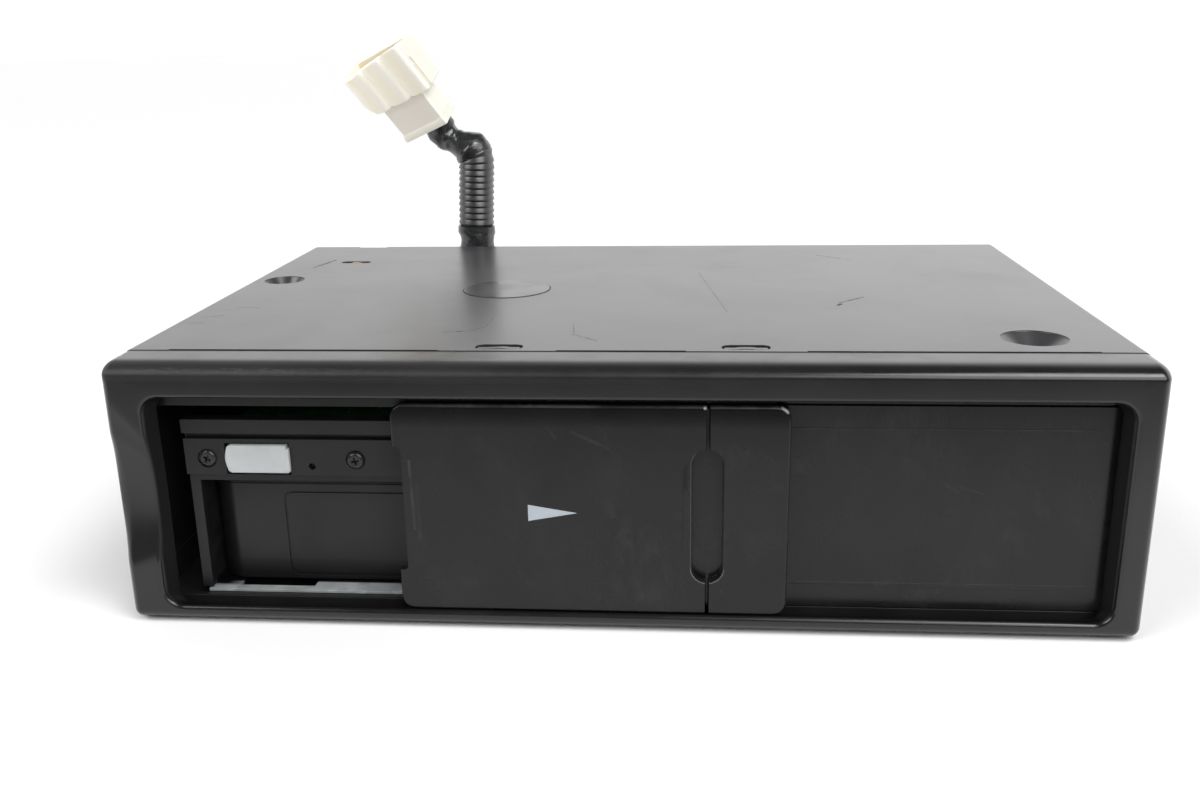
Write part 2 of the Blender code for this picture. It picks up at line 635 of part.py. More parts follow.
def as_mesh(name, curve, matrix, material):
    """Turns a filled curve into a closed mesh whose points are placed by a matrix."""
    guide = bpy.data.objects.new(name + "_guide", curve)
    cutters.objects.link(guide)
    bpy.context.view_layer.update()
    made = guide.evaluated_get(bpy.context.evaluated_depsgraph_get())
    mesh = bpy.data.meshes.new_from_object(made)
    bpy.data.objects.remove(guide, do_unlink=True)
    mesh.transform(matrix)
    shape = bmesh.new()
    shape.from_mesh(mesh)
    bmesh.ops.remove_doubles(shape, verts=shape.verts, dist=0.000001)
    bmesh.ops.dissolve_degenerate(shape, edges=shape.edges, dist=0.0000005)
    bmesh.ops.recalc_face_normals(shape, faces=shape.faces)
    shape.to_mesh(mesh)
    shape.free()
    return link(name, mesh, material)


def plate(name, loops, start, thickness, material=None, facing="Z"):
    """A flat outline with holes, given thickness from a starting plane along an axis.

    Facing Z the loops are in X and Y, facing Y they are in X and Z, facing X in Y and Z.
    """
    curve = bpy.data.curves.new(name, "CURVE")
    curve.dimensions = "2D"
    curve.fill_mode = "BOTH"
    curve.extrude = thickness / 2
    for loop in loops:
        spline = curve.splines.new("POLY")
        spline.points.add(len(loop) - 1)
        for point, (u, v) in zip(spline.points, loop):
            point.co = (u, v, 0, 1)
        spline.use_cyclic_u = True
    middle = start + thickness / 2
    if facing == "Y":
        turn = Matrix(((1, 0, 0, 0), (0, 0, 1, middle), (0, 1, 0, 0), (0, 0, 0, 1)))
    elif facing == "X":
        turn = Matrix(((0, 0, 1, middle), (1, 0, 0, 0), (0, 1, 0, 0), (0, 0, 0, 1)))
    else:
        turn = Matrix.Translation((0, 0, middle))
    return as_mesh(name, curve, turn, material)


def tube(name, points, radii, material=None, resolution=2):
    """A round tube along points, with one radius for each point."""
    curve = bpy.data.curves.new(name, "CURVE")
    curve.dimensions = "3D"
    curve.bevel_depth = 1.0 * MM
    curve.bevel_resolution = resolution
    curve.use_fill_caps = True
    spline = curve.splines.new("POLY")
    spline.points.add(len(points) - 1)
    for point, place, radius in zip(spline.points, points, radii):
        point.co = (*place, 1)
        point.radius = radius / MM
    return as_mesh(name, curve, Matrix.Identity(4), material)


def combine(thing, other, operation):
    """Adds a Boolean modifier that cuts or joins another object."""
    step = thing.modifiers.new(operation.lower(), "BOOLEAN")
    step.operation = operation
    step.object = other
    return thing


def cut(thing, *others):
    """Cuts other objects out of a thing."""
    for other in others:
        combine(thing, other, "DIFFERENCE")
    return thing


def fuse(thing, *others):
    """Joins other objects to a thing, which overlap it."""
    for other in others:
        combine(thing, other, "UNION")
    return thing


def round_edges(thing, width, picks, segments=3):
    """Rounds the edges of a mesh whose middle and direction a test accepts."""
    shape = bmesh.new()
    shape.from_mesh(thing.data)
    edges = []
    for edge in shape.edges:
        middle = (edge.verts[0].co + edge.verts[1].co) / 2 + thing.location
        along = (edge.verts[1].co - edge.verts[0].co).normalized()
        if picks(middle, along):
            edges.append(edge)
    bmesh.ops.bevel(
        shape, geom=edges, offset=width, segments=segments, affect="EDGES", profile=0.5
    )
    shape.to_mesh(thing.data)
    shape.free()
    return thing


def smooth(thing, angle=35):
    """Shades a round piece smooth, except across sharp edges."""
    thing.data.shade_smooth()
    thing.data.set_sharp_from_angle(angle=math.radians(angle))
    return thing


def loft(name, rings, material):
    """A closed band of faces through rings of equal length, the last joined to the first."""
    mesh = bpy.data.meshes.new(name)
    shape = bmesh.new()
    rows = [[shape.verts.new(p) for p in ring] for ring in rings]
    count = len(rows[0])
    for here, there in zip(rows, rows[1:] + rows[:1]):
        for i in range(count):
            j = (i + 1) % count
            shape.faces.new((here[i], here[j], there[j], there[i]))
    bmesh.ops.recalc_face_normals(shape, faces=shape.faces)
    shape.to_mesh(mesh)
    shape.free()
    return link(name, mesh, material)


def quarter_steps(radius):
    """Offsets and depths along a quarter round, from the flat side to the flat front."""
    turns = [math.pi / 2 * i / ROUND_STEPS for i in range(ROUND_STEPS + 1)]
    return [(radius * (1 - math.cos(t)), radius * (1 - math.sin(t))) for t in turns]


def bezel_rings():
    """Sections of the bezel, from the outer rear edge over the front to the inner rear edge."""

    def ring(depth, left, bottom, right, top, radius):
        outline = rounded(left, bottom, right, top, radius, ROUND_STEPS + 1)
        return [(x, depth, z) for x, z in outline]

    def outer(inset, depth):
        radius = max(CORNER_ROUND - inset, CORNER_ROUND / 4)
        return ring(
            depth,
            inset - HALF_WIDTH,
            inset,
            HALF_WIDTH - inset,
            CASE_HEIGHT - inset,
            radius,
        )

    def inner(grow, depth):
        return ring(
            depth,
            OPENING_LEFT - grow,
            OPENING_BOTTOM - grow,
            OPENING_RIGHT + grow,
            OPENING_TOP + grow,
            OPENING_ROUND + grow,
        )

    rings = [outer(0, BEZEL_DEPTH)]
    rings += [outer(inset, depth) for inset, depth in quarter_steps(EDGE_ROUND)]
    lip = quarter_steps(LIP_ROUND)
    rings += [inner(grow, depth) for grow, depth in reversed(lip)]
    rings.append(inner(0, BEZEL_LIP))
    rings.append(outer(BEZEL_WALL, BEZEL_LIP))
    rings.append(outer(BEZEL_WALL, BEZEL_DEPTH))
    return rings


def make_bezel():
    """The moulded front with its wide opening, finger scoop and two snap tongues."""
    bezel = loft("bezel", bezel_rings(), BLACK_MOULDING)
    half = SCOOP_HEIGHT / 2
    scoop_radius = (half * half + SCOOP_DEPTH * SCOOP_DEPTH) / (2 * SCOOP_DEPTH)
    scoop = drum(
        "scoop_cutter",
        (-HALF_WIDTH - OVERRUN, SCOOP_DEPTH - scoop_radius, SCOOP_MIDDLE),
        LEFT_STILE + 2 * OVERRUN,
        scoop_radius,
        "X",
        sides=96,
    )
    cut(bezel, scoop)
    tongue_top = COVER_UNDER - GAP
    for side, name in ((-1, "left"), (1, "right")):
        middle = side * SNAP_OFFSET
        tongue = block(
            f"snap_tongue_{name}",
            (middle - SNAP_WIDTH / 2, BEZEL_DEPTH - SNAP_ROOT, tongue_top - SNAP_THICKNESS),
            (middle + SNAP_WIDTH / 2, BEZEL_DEPTH + SNAP_LENGTH, tongue_top),
        )
        root = block(
            f"snap_root_{name}",
            (middle - SNAP_WIDTH / 2, BEZEL_DEPTH - SNAP_ROOT, tongue_top - SNAP_THICKNESS),
            (middle + SNAP_WIDTH / 2, BEZEL_DEPTH - GAP, CASE_HEIGHT - BEZEL_WALL / 2),
        )
        nub = drum(
            f"snap_nub_{name}",
            (middle, COVER_FRONT + WINDOW_SETBACK + GAP, tongue_top - SNAP_THICKNESS / 2),
            SNAP_THICKNESS / 2 + NUB_HEIGHT,
            NUB_RADIUS,
        )
        front_half = block(
            f"snap_nub_cutter_{name}",
            (
                middle - NUB_RADIUS - OVERRUN,
                COVER_FRONT + WINDOW_SETBACK + GAP - NUB_RADIUS - OVERRUN,
                tongue_top - SNAP_THICKNESS,
            ),
            (
                middle + NUB_RADIUS + OVERRUN,
                COVER_FRONT + WINDOW_SETBACK + GAP,
                tongue_top + NUB_HEIGHT + OVERRUN,
            ),
        )
        cut(nub, front_half)
        fuse(bezel, tongue, root, nub)
    return smooth(bezel)


def press_dish(cover, name, x, y, radius):
    """Presses a dish into the cover: a plug joined below, then its hollow and a hole cut out."""
    floor = CASE_HEIGHT - DISH_DEPTH
    plug_profile = [
        (0, CASE_HEIGHT - SHEET / 2),
        (radius + SHEET / 2, CASE_HEIGHT - SHEET / 2),
        (DISH_SEAT + SHEET / 2, floor - SHEET),
        (0, floor - SHEET),
    ]
    hollow_profile = [
        (0, CASE_HEIGHT + OVERRUN),
        (radius, CASE_HEIGHT + OVERRUN),
        (radius, CASE_HEIGHT - GAP),
        (DISH_SEAT, floor),
        (0, floor),
    ]
    plug = turned(f"{name}_plug", plug_profile, (x, y, 0))
    hollow = turned(f"{name}_hollow", hollow_profile, (x, y, 0))
    hole = drum(f"{name}_hole", (x, y, floor - 2 * OVERRUN), 3 * OVERRUN, DISH_HOLE, sides=20)
    fuse(cover, plug)
    cut(cover, hollow, hole)


def make_cover():
    """The painted cover: a bent sheet over the top and both sides, with its pressings."""
    low = BOTTOM_SHEET + GAP
    cover = block(
        "top_cover",
        (-COVER_HALF, COVER_FRONT, low),
        (COVER_HALF, CASE_DEPTH, CASE_HEIGHT),
        BLACK_PAINT,
    )
    top_edges = lambda middle, along: abs(along.y) > 0.9 and middle.z > CASE_HEIGHT / 2
    round_edges(cover, COVER_BEND, top_edges)
    hollow = block(
        "cover_hollow",
        (SHEET - COVER_HALF, COVER_FRONT - OVERRUN, low - OVERRUN),
        (COVER_HALF - SHEET, CASE_DEPTH + OVERRUN, COVER_UNDER),
    )
    round_edges(hollow, COVER_BEND - SHEET, top_edges)
    cut(cover, hollow)

    for side, name in ((-1, "left"), (1, "right")):
        middle = side * SNAP_OFFSET
        near = COVER_FRONT + WINDOW_SETBACK
        window = rounded(
            middle - WINDOW_WIDTH / 2,
            near,
            middle + WINDOW_WIDTH / 2,
            near + WINDOW_LENGTH,
            WINDOW_LENGTH / 2 - GAP,
        )
        cut(cover, plate(f"window_{name}", [window], COVER_UNDER - OVERRUN, SHEET + 2 * OVERRUN))
        inner = side * (SNAP_OFFSET - TONGUE_HALF_WIDTH)
        outer = side * (SNAP_OFFSET + TONGUE_HALF_WIDTH)
        end = side * (COVER_HALF - END_TONGUE)
        reach = COVER_FRONT + SEAM_STEP
        cut(
            cover,
            block(
                f"seam_step_{name}",
                (min(outer, end), COVER_FRONT - OVERRUN, COVER_UNDER - OVERRUN),
                (max(outer, end), reach, CASE_HEIGHT + OVERRUN),
            ),
        )
        if side > 0:
            cut(
                cover,
                block(
                    "seam_step_middle",
                    (-inner, COVER_FRONT - OVERRUN, COVER_UNDER - OVERRUN),
                    (inner, reach, CASE_HEIGHT + OVERRUN),
                ),
            )
        for place in range(2):
            hole = drum(
                f"side_hole_{name}_{place}",
                (
                    side * (COVER_HALF - SHEET / 2) - OVERRUN * 2,
                    SIDE_HOLE_FRONT + place * SIDE_HOLE_SPACING,
                    SIDE_HOLE_HEIGHT,
                ),
                4 * OVERRUN,
                SIDE_HOLE_RADIUS,
                "X",
                sides=20,
            )
            cut(cover, hole)

    for name, x, y, radius in (
        ("dish_right", DISH_RIGHT_X, DISH_RIGHT_Y, DISH_RADIUS),
        ("dish_left", DISH_LEFT_X, DISH_LEFT_Y, DISH_LEFT_RADIUS),
    ):
        press_dish(cover, name, x, y, radius)

    slot = rounded(
        VIEW_SLOT_X - VIEW_SLOT_LENGTH / 2,
        VIEW_SLOT_Y - VIEW_SLOT_WIDTH / 2,
        VIEW_SLOT_X + VIEW_SLOT_LENGTH / 2,
        VIEW_SLOT_Y + VIEW_SLOT_WIDTH / 2,
        VIEW_SLOT_WIDTH / 2 - GAP,
    )
    cut(cover, plate("view_slot", [slot], COVER_UNDER - OVERRUN, 3 * OVERRUN))
    notch = block(
        "rear_notch",
        (NOTCH_X - NOTCH_WIDTH / 2, CASE_DEPTH - NOTCH_LENGTH, COVER_UNDER - OVERRUN),
        (NOTCH_X + NOTCH_WIDTH / 2, CASE_DEPTH + OVERRUN, CASE_HEIGHT + OVERRUN),
    )
    seat = drum(
        "sticker_seat",
        (STICKER_X, STICKER_Y, CASE_HEIGHT - STICKER_SEAT),
        STICKER_SEAT + OVERRUN,
        STICKER_RADIUS + GAP,
        sides=48,
    )
    return cut(cover, notch, seat)


def make_sticker():
    """The plain round label on the cover, in its shallow seat."""
    return smooth(
        drum(
            "round_label",
            (STICKER_X, STICKER_Y, CASE_HEIGHT - STICKER_SEAT + GAP),
            STICKER_THICKNESS,
            STICKER_RADIUS,
            material=BLACK_LABEL,
            sides=48,
        )
    )


def make_view_screw():
    """The brass-coloured screw that shows through the slot of the cover."""
    top = COVER_UNDER - GAP
    profile = [
        (0, top),
        (TAP_HEAD_RADIUS, top),
        (TAP_HEAD_RADIUS, top - TAP_HEAD_HEIGHT),
        (TAP_SHANK_RADIUS, top - TAP_HEAD_HEIGHT),
        (TAP_SHANK_RADIUS, top - TAP_HEAD_HEIGHT - TAP_SHANK_LENGTH),
        (0, top - TAP_HEAD_HEIGHT - TAP_SHANK_LENGTH),
    ]
    return smooth(turned("view_screw", profile, (VIEW_SLOT_X, VIEW_SLOT_Y, 0), BRASS, steps=20))


def make_bottom():
    """The bottom sheet with its two low side flanges."""
    inner = COVER_HALF - SHEET - GAP
    bottom = block(
        "bottom_plate",
        (-COVER_HALF, COVER_FRONT, 0),
        (COVER_HALF, CASE_DEPTH, BOTTOM_SHEET),
        BLACK_PAINT,
    )
    for side, name in ((-1, "left"), (1, "right")):
        ends = sorted((side * inner, side * (inner - SHEET)))
        flange = block(
            f"bottom_flange_{name}",
            (ends[0], COVER_FRONT + OVERRUN, BOTTOM_SHEET / 2),
            (ends[1], REAR_PANEL_FRONT - GAP, BOTTOM_SHEET + SIDE_FLANGE),
        )
        fuse(bottom, flange)
    return bottom


def make_rear_panel():
    """The rear panel with cooling slots and the hole for the grommet."""
    inner = COVER_HALF - SHEET - GAP
    outline = rectangle(-inner, BOTTOM_SHEET + GAP, inner, COVER_UNDER - GAP)
    hole = circle(ROUTE[0][0], ROUTE[0][2], GROMMET_NECK_RADIUS + GAP, 28)
    slots = []
    for row in range(LOUVRE_COUNT):
        low = LOUVRE_Z + row * LOUVRE_PITCH
        left = LOUVRE_X - LOUVRE_WIDTH / 2
        slots.append(
            rounded(left, low, left + LOUVRE_WIDTH, low + LOUVRE_HEIGHT, LOUVRE_HEIGHT / 2 - GAP)
        )
    return plate(
        "rear_panel", [outline, hole, *slots], REAR_PANEL_FRONT, SHEET, BLACK_PAINT, "Y"
    )


def leaf_section(name, left, right, material, leftmost, rightmost):
    """The flat face of a door leaf, with its rounded corners on one side."""
    near = ROUND_STEPS
    outline = []
    if rightmost:
        outline += arc((right - LEAF_ROUND, LEAF_BOTTOM + LEAF_ROUND), LEAF_ROUND, -90, 0, near)
        outline += arc((right - LEAF_ROUND, LEAF_TOP - LEAF_ROUND), LEAF_ROUND, 0, 90, near)
    else:
        outline += [(right, LEAF_BOTTOM), (right, LEAF_TOP)]
    if leftmost:
        outline += arc((left + LEAF_ROUND, LEAF_TOP - LEAF_ROUND), LEAF_ROUND, 90, 180, near)
        outline += arc((left + LEAF_ROUND, LEAF_BOTTOM + LEAF_ROUND), LEAF_ROUND, 180, 270, near)
    else:
        outline += [(left, LEAF_TOP), (left, LEAF_BOTTOM)]
    thing = plate(name, [outline], DOOR_SETBACK, LEAF_THICKNESS, material, "Y")
    shape = bmesh.new()
    shape.from_mesh(thing.data)
    bmesh.ops.dissolve_limit(
        shape, angle_limit=math.radians(1), verts=shape.verts, edges=shape.edges
    )
    front = [e for e in shape.edges if all(v.co.y < DOOR_SETBACK + GAP for v in e.verts)]
    bmesh.ops.bevel(shape, geom=front, offset=LEAF_EDGE, segments=2, affect="EDGES", profile=0.5)
    shape.to_mesh(thing.data)
    shape.free()
    return thing


def grip_outline():
    """The long oval finger grip across the split of the two leaves."""
    return rounded(
        SPLIT_X - GRIP_WIDTH / 2,
        GRIP_MIDDLE - GRIP_HEIGHT / 2,
        SPLIT_X + GRIP_WIDTH / 2,
        GRIP_MIDDLE + GRIP_HEIGHT / 2,
        GRIP_WIDTH / 2 - GAP / 2,
        ROUND_STEPS + 2,
    )


def make_outer_leaf():
    """The left leaf, which slides over the plate of the right one on two hooked edges."""
    leaf = leaf_section(
        "door_outer", OUTER_LEAF_LEFT, OUTER_LEAF_RIGHT, BLACK_DOOR, True, False
    )
    grip = plate(
        "grip_outer",
        [grip_outline()],
        DOOR_SETBACK - OVERRUN,
        LEAF_THICKNESS + 2 * OVERRUN,
        None,
        "Y",
    )
    left_grip = plate(
        "left_grip",
        [
            rounded(
                OUTER_LEAF_LEFT - LEFT_GRIP_DEPTH,
                LEFT_GRIP_LOW,
                OUTER_LEAF_LEFT + LEFT_GRIP_DEPTH,
                LEFT_GRIP_HIGH,
                LEFT_GRIP_DEPTH / 2,
            )
        ],
        DOOR_SETBACK - OVERRUN,
        LEAF_THICKNESS + 2 * OVERRUN,
        None,
        "Y",
    )
    cut(leaf, grip, left_grip)
    left = OUTER_LEAF_LEFT + LEAF_ROUND + GAP
    right = OUTER_LEAF_RIGHT - GAP
    slide_back = PLATE_FRONT + PLATE_THICKNESS
    inset = GAP / 2
    hooks = (
        ("top", LEAF_TOP - HOOK_HEIGHT, LEAF_TOP - inset, LEAF_TOP - HOOK_HEIGHT, TONGUE_TOP),
        ("bottom", LEAF_BOTTOM + inset, LEAF_BOTTOM + HOOK_HEIGHT, TONGUE_BOTTOM, LEAF_BOTTOM + HOOK_HEIGHT),
    )
    for name, web_low, web_high, foot_low, foot_high in hooks:
        web = block(
            f"hook_web_{name}",
            (left, LEAF_BACK - LEAF_EDGE, web_low),
            (right, slide_back, web_high),
        )
        foot = block(
            f"hook_foot_{name}",
            (left, PLATE_FRONT, foot_low),
            (right, slide_back, foot_high),
        )
        fuse(leaf, web, foot)
    return smooth(leaf)


def make_inner_leaf():
    """The right leaf: a raised end in line with the outer leaf and a plate behind it."""
    leaf = leaf_section(
        "door_inner", INNER_LEAF_LEFT, INNER_LEAF_RIGHT, BLACK_DOOR, False, True
    )
    right = INNER_LEAF_RIGHT - LEAF_ROUND - GAP
    raised = block(
        "inner_raised",
        (INNER_LEAF_LEFT, LEAF_BACK - LEAF_EDGE, LEAF_BOTTOM),
        (right, PLATE_BACK, LEAF_TOP),
    )
    grip = plate(
        "grip_inner",
        [grip_outline()],
        DOOR_SETBACK - OVERRUN,
        PLATE_FRONT - DOOR_SETBACK + OVERRUN,
        None,
        "Y",
    )
    clear = HOOK_HEIGHT + GAP
    back = block(
        "inner_plate",
        (INNER_LEAF_RIGHT - INNER_PLATE_LENGTH, PLATE_FRONT, LEAF_BOTTOM + clear),
        (INNER_LEAF_LEFT + OVERRUN, PLATE_BACK, LEAF_TOP - clear),
    )
    foot = block(
        "inner_foot",
        (INNER_LEAF_LEFT, PLATE_FRONT, TONGUE_BOTTOM),
        (right, PLATE_BACK, TONGUE_TOP),
    )
    fuse(leaf, raised)
    cut(leaf, grip)
    return smooth(fuse(leaf, back, foot))


def make_tracks():
    """The upper and lower tracks that hold the tongues of the leaves behind the bezel."""
    left = OPENING_LEFT - TONGUE_RISE
    right = OPENING_RIGHT + TONGUE_RISE
    roof = TONGUE_TOP + GAP
    upper = block(
        "door_track_top",
        (left, PLATE_FRONT, roof),
        (right, PANEL_BACK, roof + TRACK_ROOF),
        BLACK_FRAME,
    )
    lip = block(
        "track_drop",
        (left, PANEL_FRONT, roof - TRACK_DROP),
        (BAY_RIGHT, PANEL_BACK, roof + TRACK_ROOF / 2),
    )
    fuse(upper, lip)
    lower = block(
        "door_track_bottom",
        (left, PANEL_FRONT, BEZEL_WALL + TRACK_BASE),
        (right, PANEL_BACK, BEZEL_WALL + TRACK_BASE + TRACK_STEP),
        BLACK_FRAME,
    )
    return upper, lower


def make_fixed_panel():
    """The plain panel that the doors slide in front of, with two low ribs."""
    low = BEZEL_WALL + TRACK_BASE + TRACK_STEP + GAP
    high = TONGUE_TOP
    right = OPENING_RIGHT + TONGUE_RISE
    panel = block(
        "fixed_panel", (PANEL_LEFT, PANEL_FRONT, low), (right, PANEL_BACK, high), BLACK_DOOR
    )
    for name, height in (("low", PANEL_RIB_LOW), ("high", PANEL_RIB_HIGH)):
        rib = block(
            f"panel_rib_{name}",
            (PANEL_LEFT + GAP, PANEL_FRONT - PANEL_RIB_DEPTH, height),
            (OPENING_RIGHT - PANEL_RIB_END, PANEL_FRONT + GAP, height + PANEL_RIB_HEIGHT),
        )
        fuse(panel, rib)
    return panel


def make_bay_frame():
    """The frame over the magazine's slot: a strip at the left, a band above and a ledge on top."""
    slot_right = MAGAZINE_RIGHT + GAP
    low = SHEET_FLOOR_TOP + GAP
    outline = [
        (BAY_LEFT, low),
        (SLOT_LEFT, low),
        (SLOT_LEFT, BAY_SLOT_TOP),
        (slot_right, BAY_SLOT_TOP),
        (slot_right, low),
        (BAY_RIGHT, low),
        (BAY_RIGHT, BAY_TOP),
        (BAY_LEFT, BAY_TOP),
    ]
    button_hole = rectangle(
        BUTTON_LEFT - GAP,
        BUTTON_PLATE_BOTTOM - GAP,
        BUTTON_LEFT + BUTTON_WIDTH + GAP,
        BUTTON_PLATE_BOTTOM + BUTTON_HEIGHT + GAP,
    )
    holes = [circle(x, SCREW_Z, SCREW_SHANK_RADIUS + GAP, 12) for x in (SCREW_LEFT_X, SCREW_RIGHT_X)]
    frame = plate(
        "bay_frame",
        [outline, button_hole, *holes],
        BAY_FRAME_Y,
        BAY_FRAME_THICKNESS,
        BLACK_FRAME,
        "Y",
    )
    ledge = block(
        "bay_ledge",
        (BAY_LEFT, BAY_FRAME_Y - LEDGE_FORWARD, BAY_TOP - LEDGE_HEIGHT),
        (BAY_RIGHT, BAY_FRAME_Y + BAY_FRAME_THICKNESS / 2, BAY_TOP),
    )
    return fuse(frame, ledge)


def make_button_plate():
    """The strip with the eject button's notch, the pin hole and two sunk screws."""
    right = MAGAZINE_RIGHT + GAP
    top = BUTTON_PLATE_BOTTOM + BUTTON_PLATE_HEIGHT
    notch_top = BUTTON_PLATE_BOTTOM + BUTTON_HEIGHT + GAP
    notch_left = BUTTON_LEFT - GAP
    notch_right = BUTTON_LEFT + BUTTON_WIDTH + GAP
    outline = [
        (BAY_LEFT, BUTTON_PLATE_BOTTOM),
        (notch_left, BUTTON_PLATE_BOTTOM),
        (notch_left, notch_top),
        (notch_right, notch_top),
        (notch_right, BUTTON_PLATE_BOTTOM),
        (right, BUTTON_PLATE_BOTTOM),
        (right, top),
        (BAY_LEFT, top),
    ]
    holes = [circle(PIN_HOLE_X, PIN_HOLE_Z, PIN_HOLE_RADIUS, 12)]
    holes += [circle(x, SCREW_Z, SCREW_SHANK_RADIUS + GAP, 12) for x in (SCREW_LEFT_X, SCREW_RIGHT_X)]
    strip = plate(
        "button_plate",
        [outline, *holes],
        BUTTON_PLATE_Y,
        BUTTON_PLATE_THICKNESS,
        BLACK_FRAME,
        "Y",
    )
    for name, x in (("left", SCREW_LEFT_X), ("right", SCREW_RIGHT_X)):
        seat = drum(
            f"screw_seat_{name}",
            (x, BUTTON_PLATE_Y - OVERRUN, SCREW_Z),
            OVERRUN + SCREW_SEAT_DEPTH,
            SCREW_HEAD_RADIUS + GAP,
            "Y",
            sides=24,
        )
        cut(strip, seat)
    return strip


def make_plate_screw(name, x):
    """A black cross-head screw sunk in the button plate."""
    seat = BUTTON_PLATE_Y + SCREW_SEAT_DEPTH - GAP
    head = SCREW_HEAD_HEIGHT
    profile = [
        (0, -head),
        (SCREW_HEAD_RADIUS * 0.7, -head),
        (SCREW_HEAD_RADIUS, -head * 0.5),
        (SCREW_HEAD_RADIUS, 0),
        (SCREW_SHANK_RADIUS, 0),
        (SCREW_SHANK_RADIUS, SCREW_SHANK_LENGTH),
        (0, SCREW_SHANK_LENGTH),
    ]
    profile.reverse()
    screw = turned(name, profile, (x, seat, SCREW_Z), BLACK_SCREW, "Y", 20)
    half_long = SCREW_HEAD_RADIUS * 0.6
    half_wide = SCREW_SOCKET_WIDTH / 2
    for turn, (wide, tall) in enumerate(((half_long, half_wide), (half_wide, half_long))):
        socket = block(
            f"{name}_socket_{turn}",
            (x - wide, seat - head - OVERRUN, SCREW_Z - tall),
            (x + wide, seat - head + SCREW_SOCKET_DEPTH, SCREW_Z + tall),
        )
        cut(screw, socket)
    return smooth(screw)


def make_button():
    """The white eject button, which runs back through the frame to two small stops."""
    front = BUTTON_PLATE_Y - BUTTON_FORWARD
    right = BUTTON_LEFT + BUTTON_WIDTH
    top = BUTTON_PLATE_BOTTOM + BUTTON_HEIGHT
    button = block(
        "eject_button",
        (BUTTON_LEFT, front, BUTTON_PLATE_BOTTOM),
        (right, front + BUTTON_DEPTH, top),
        WHITE_BUTTON,
    )
    round_edges(button, BUTTON_ROUND, lambda middle, along: abs(along.y) > 0.9, 3)
    stops = block(
        "button_stops",
        (
            BUTTON_LEFT - BUTTON_STOP,
            BAY_FRAME_Y + BAY_FRAME_THICKNESS + GAP,
            BUTTON_PLATE_BOTTOM + BUTTON_STOP,
        ),
        (right + BUTTON_STOP, front + BUTTON_DEPTH - GAP / 2, top - BUTTON_STOP),
    )
    return fuse(button, stops)


def ledge_blocks():
    """Shelves along the front and rear of the magazine's cavity, one pair under each tray."""
    shelves = []
    for level in range(1, TRAY_COUNT):
        top = CAVITY_BOTTOM + level * TRAY_PITCH
        sides = (
            (CAVITY_FRONT - OVERRUN, CAVITY_FRONT + LEDGE_REACH),
            (CAVITY_REAR - LEDGE_REACH, CAVITY_REAR + OVERRUN),
        )
        for row, (near, far) in enumerate(sides):
            shelves.append(
                block(
                    f"magazine_shelf_{level}_{row}",
                    (CAVITY_LEFT - OVERRUN, near, top - LEDGE_THICKNESS),
                    (MAGAZINE_RIGHT - OVERRUN, far, top),
                )
            )
    return shelves


def make_magazine():
    """The magazine: a case open to the right, with shelves for six trays."""
    magazine = block(
        "magazine",
        (MAGAZINE_LEFT, MAGAZINE_FRONT, MAGAZINE_BOTTOM),
        (MAGAZINE_RIGHT, MAGAZINE_REAR, MAGAZINE_TOP),
        MAGAZINE_PLASTIC,
    )
    left_edges = lambda middle, along: abs(along.y) > 0.9 and middle.x < MAGAZINE_LEFT + OVERRUN
    round_edges(magazine, MAGAZINE_ROUND, left_edges)
    cavity = block(
        "magazine_cavity",
        (CAVITY_LEFT, CAVITY_FRONT, CAVITY_BOTTOM),
        (MAGAZINE_RIGHT + OVERRUN, CAVITY_REAR, CAVITY_BOTTOM + CAVITY_HEIGHT),
    )
    left = MAGAZINE_LEFT + LABEL_MARGIN
    right = MAGAZINE_RIGHT - LABEL_MARGIN
    low = MAGAZINE_BOTTOM + LABEL_BOTTOM
    high = MAGAZINE_TOP - LABEL_TOP
    line = LABEL_LINE
    label = plate(
        "label_line",
        [
            rounded(left, low, right, high, LABEL_ROUND),
            rounded(left + line, low + line, right - line, high - line, LABEL_ROUND - line),
        ],
        MAGAZINE_FRONT - OVERRUN,
        OVERRUN + LABEL_DEPTH,
        None,
        "Y",
    )
    cut(magazine, cavity, label)
    return fuse(magazine, *ledge_blocks())


def make_tray(number):
    """One disc tray: a flat frame with a round seat, a centre hole and a pull notch."""
    low = CAVITY_BOTTOM + number * TRAY_PITCH + GAP
    name = f"tray_{number + 1}"
    outline = rounded(TRAY_LEFT, TRAY_FRONT, TRAY_RIGHT, TRAY_REAR, TRAY_CORNER, 2)
    tray = plate(
        name,
        [outline, circle(TRAY_X, TRAY_Y, TRAY_CENTRE_HOLE, 24)],
        low,
        TRAY_THICKNESS,
        TRAY_PLASTIC,
    )
    seat = drum(
        f"{name}_seat",
        (TRAY_X, TRAY_Y, low + TRAY_THICKNESS - TRAY_SEAT_DEPTH),
        TRAY_SEAT_DEPTH + OVERRUN,
        DISC_RADIUS + 2 * GAP,
        sides=40,
    )
    notch = drum(
        f"{name}_notch",
        (TRAY_RIGHT - PULL_NOTCH_INSET, TRAY_FRONT, low - OVERRUN),
        TRAY_THICKNESS + 2 * OVERRUN,
        PULL_NOTCH_RADIUS,
        sides=12,
    )
    return cut(tray, seat, notch)


def make_disc(number):
    """One disc with its centre hole, lying in its tray's seat."""
    low = CAVITY_BOTTOM + number * TRAY_PITCH + 2 * GAP + TRAY_THICKNESS - TRAY_SEAT_DEPTH
    profile = [
        (DISC_BORE, DISC_THICKNESS),
        (DISC_RADIUS, DISC_THICKNESS),
        (DISC_RADIUS, 0),
        (DISC_BORE, 0),
    ]
    place = (TRAY_X, TRAY_Y, low)
    return smooth(turned(f"disc_{number + 1}", profile, place, DISC_SURFACE, steps=40))


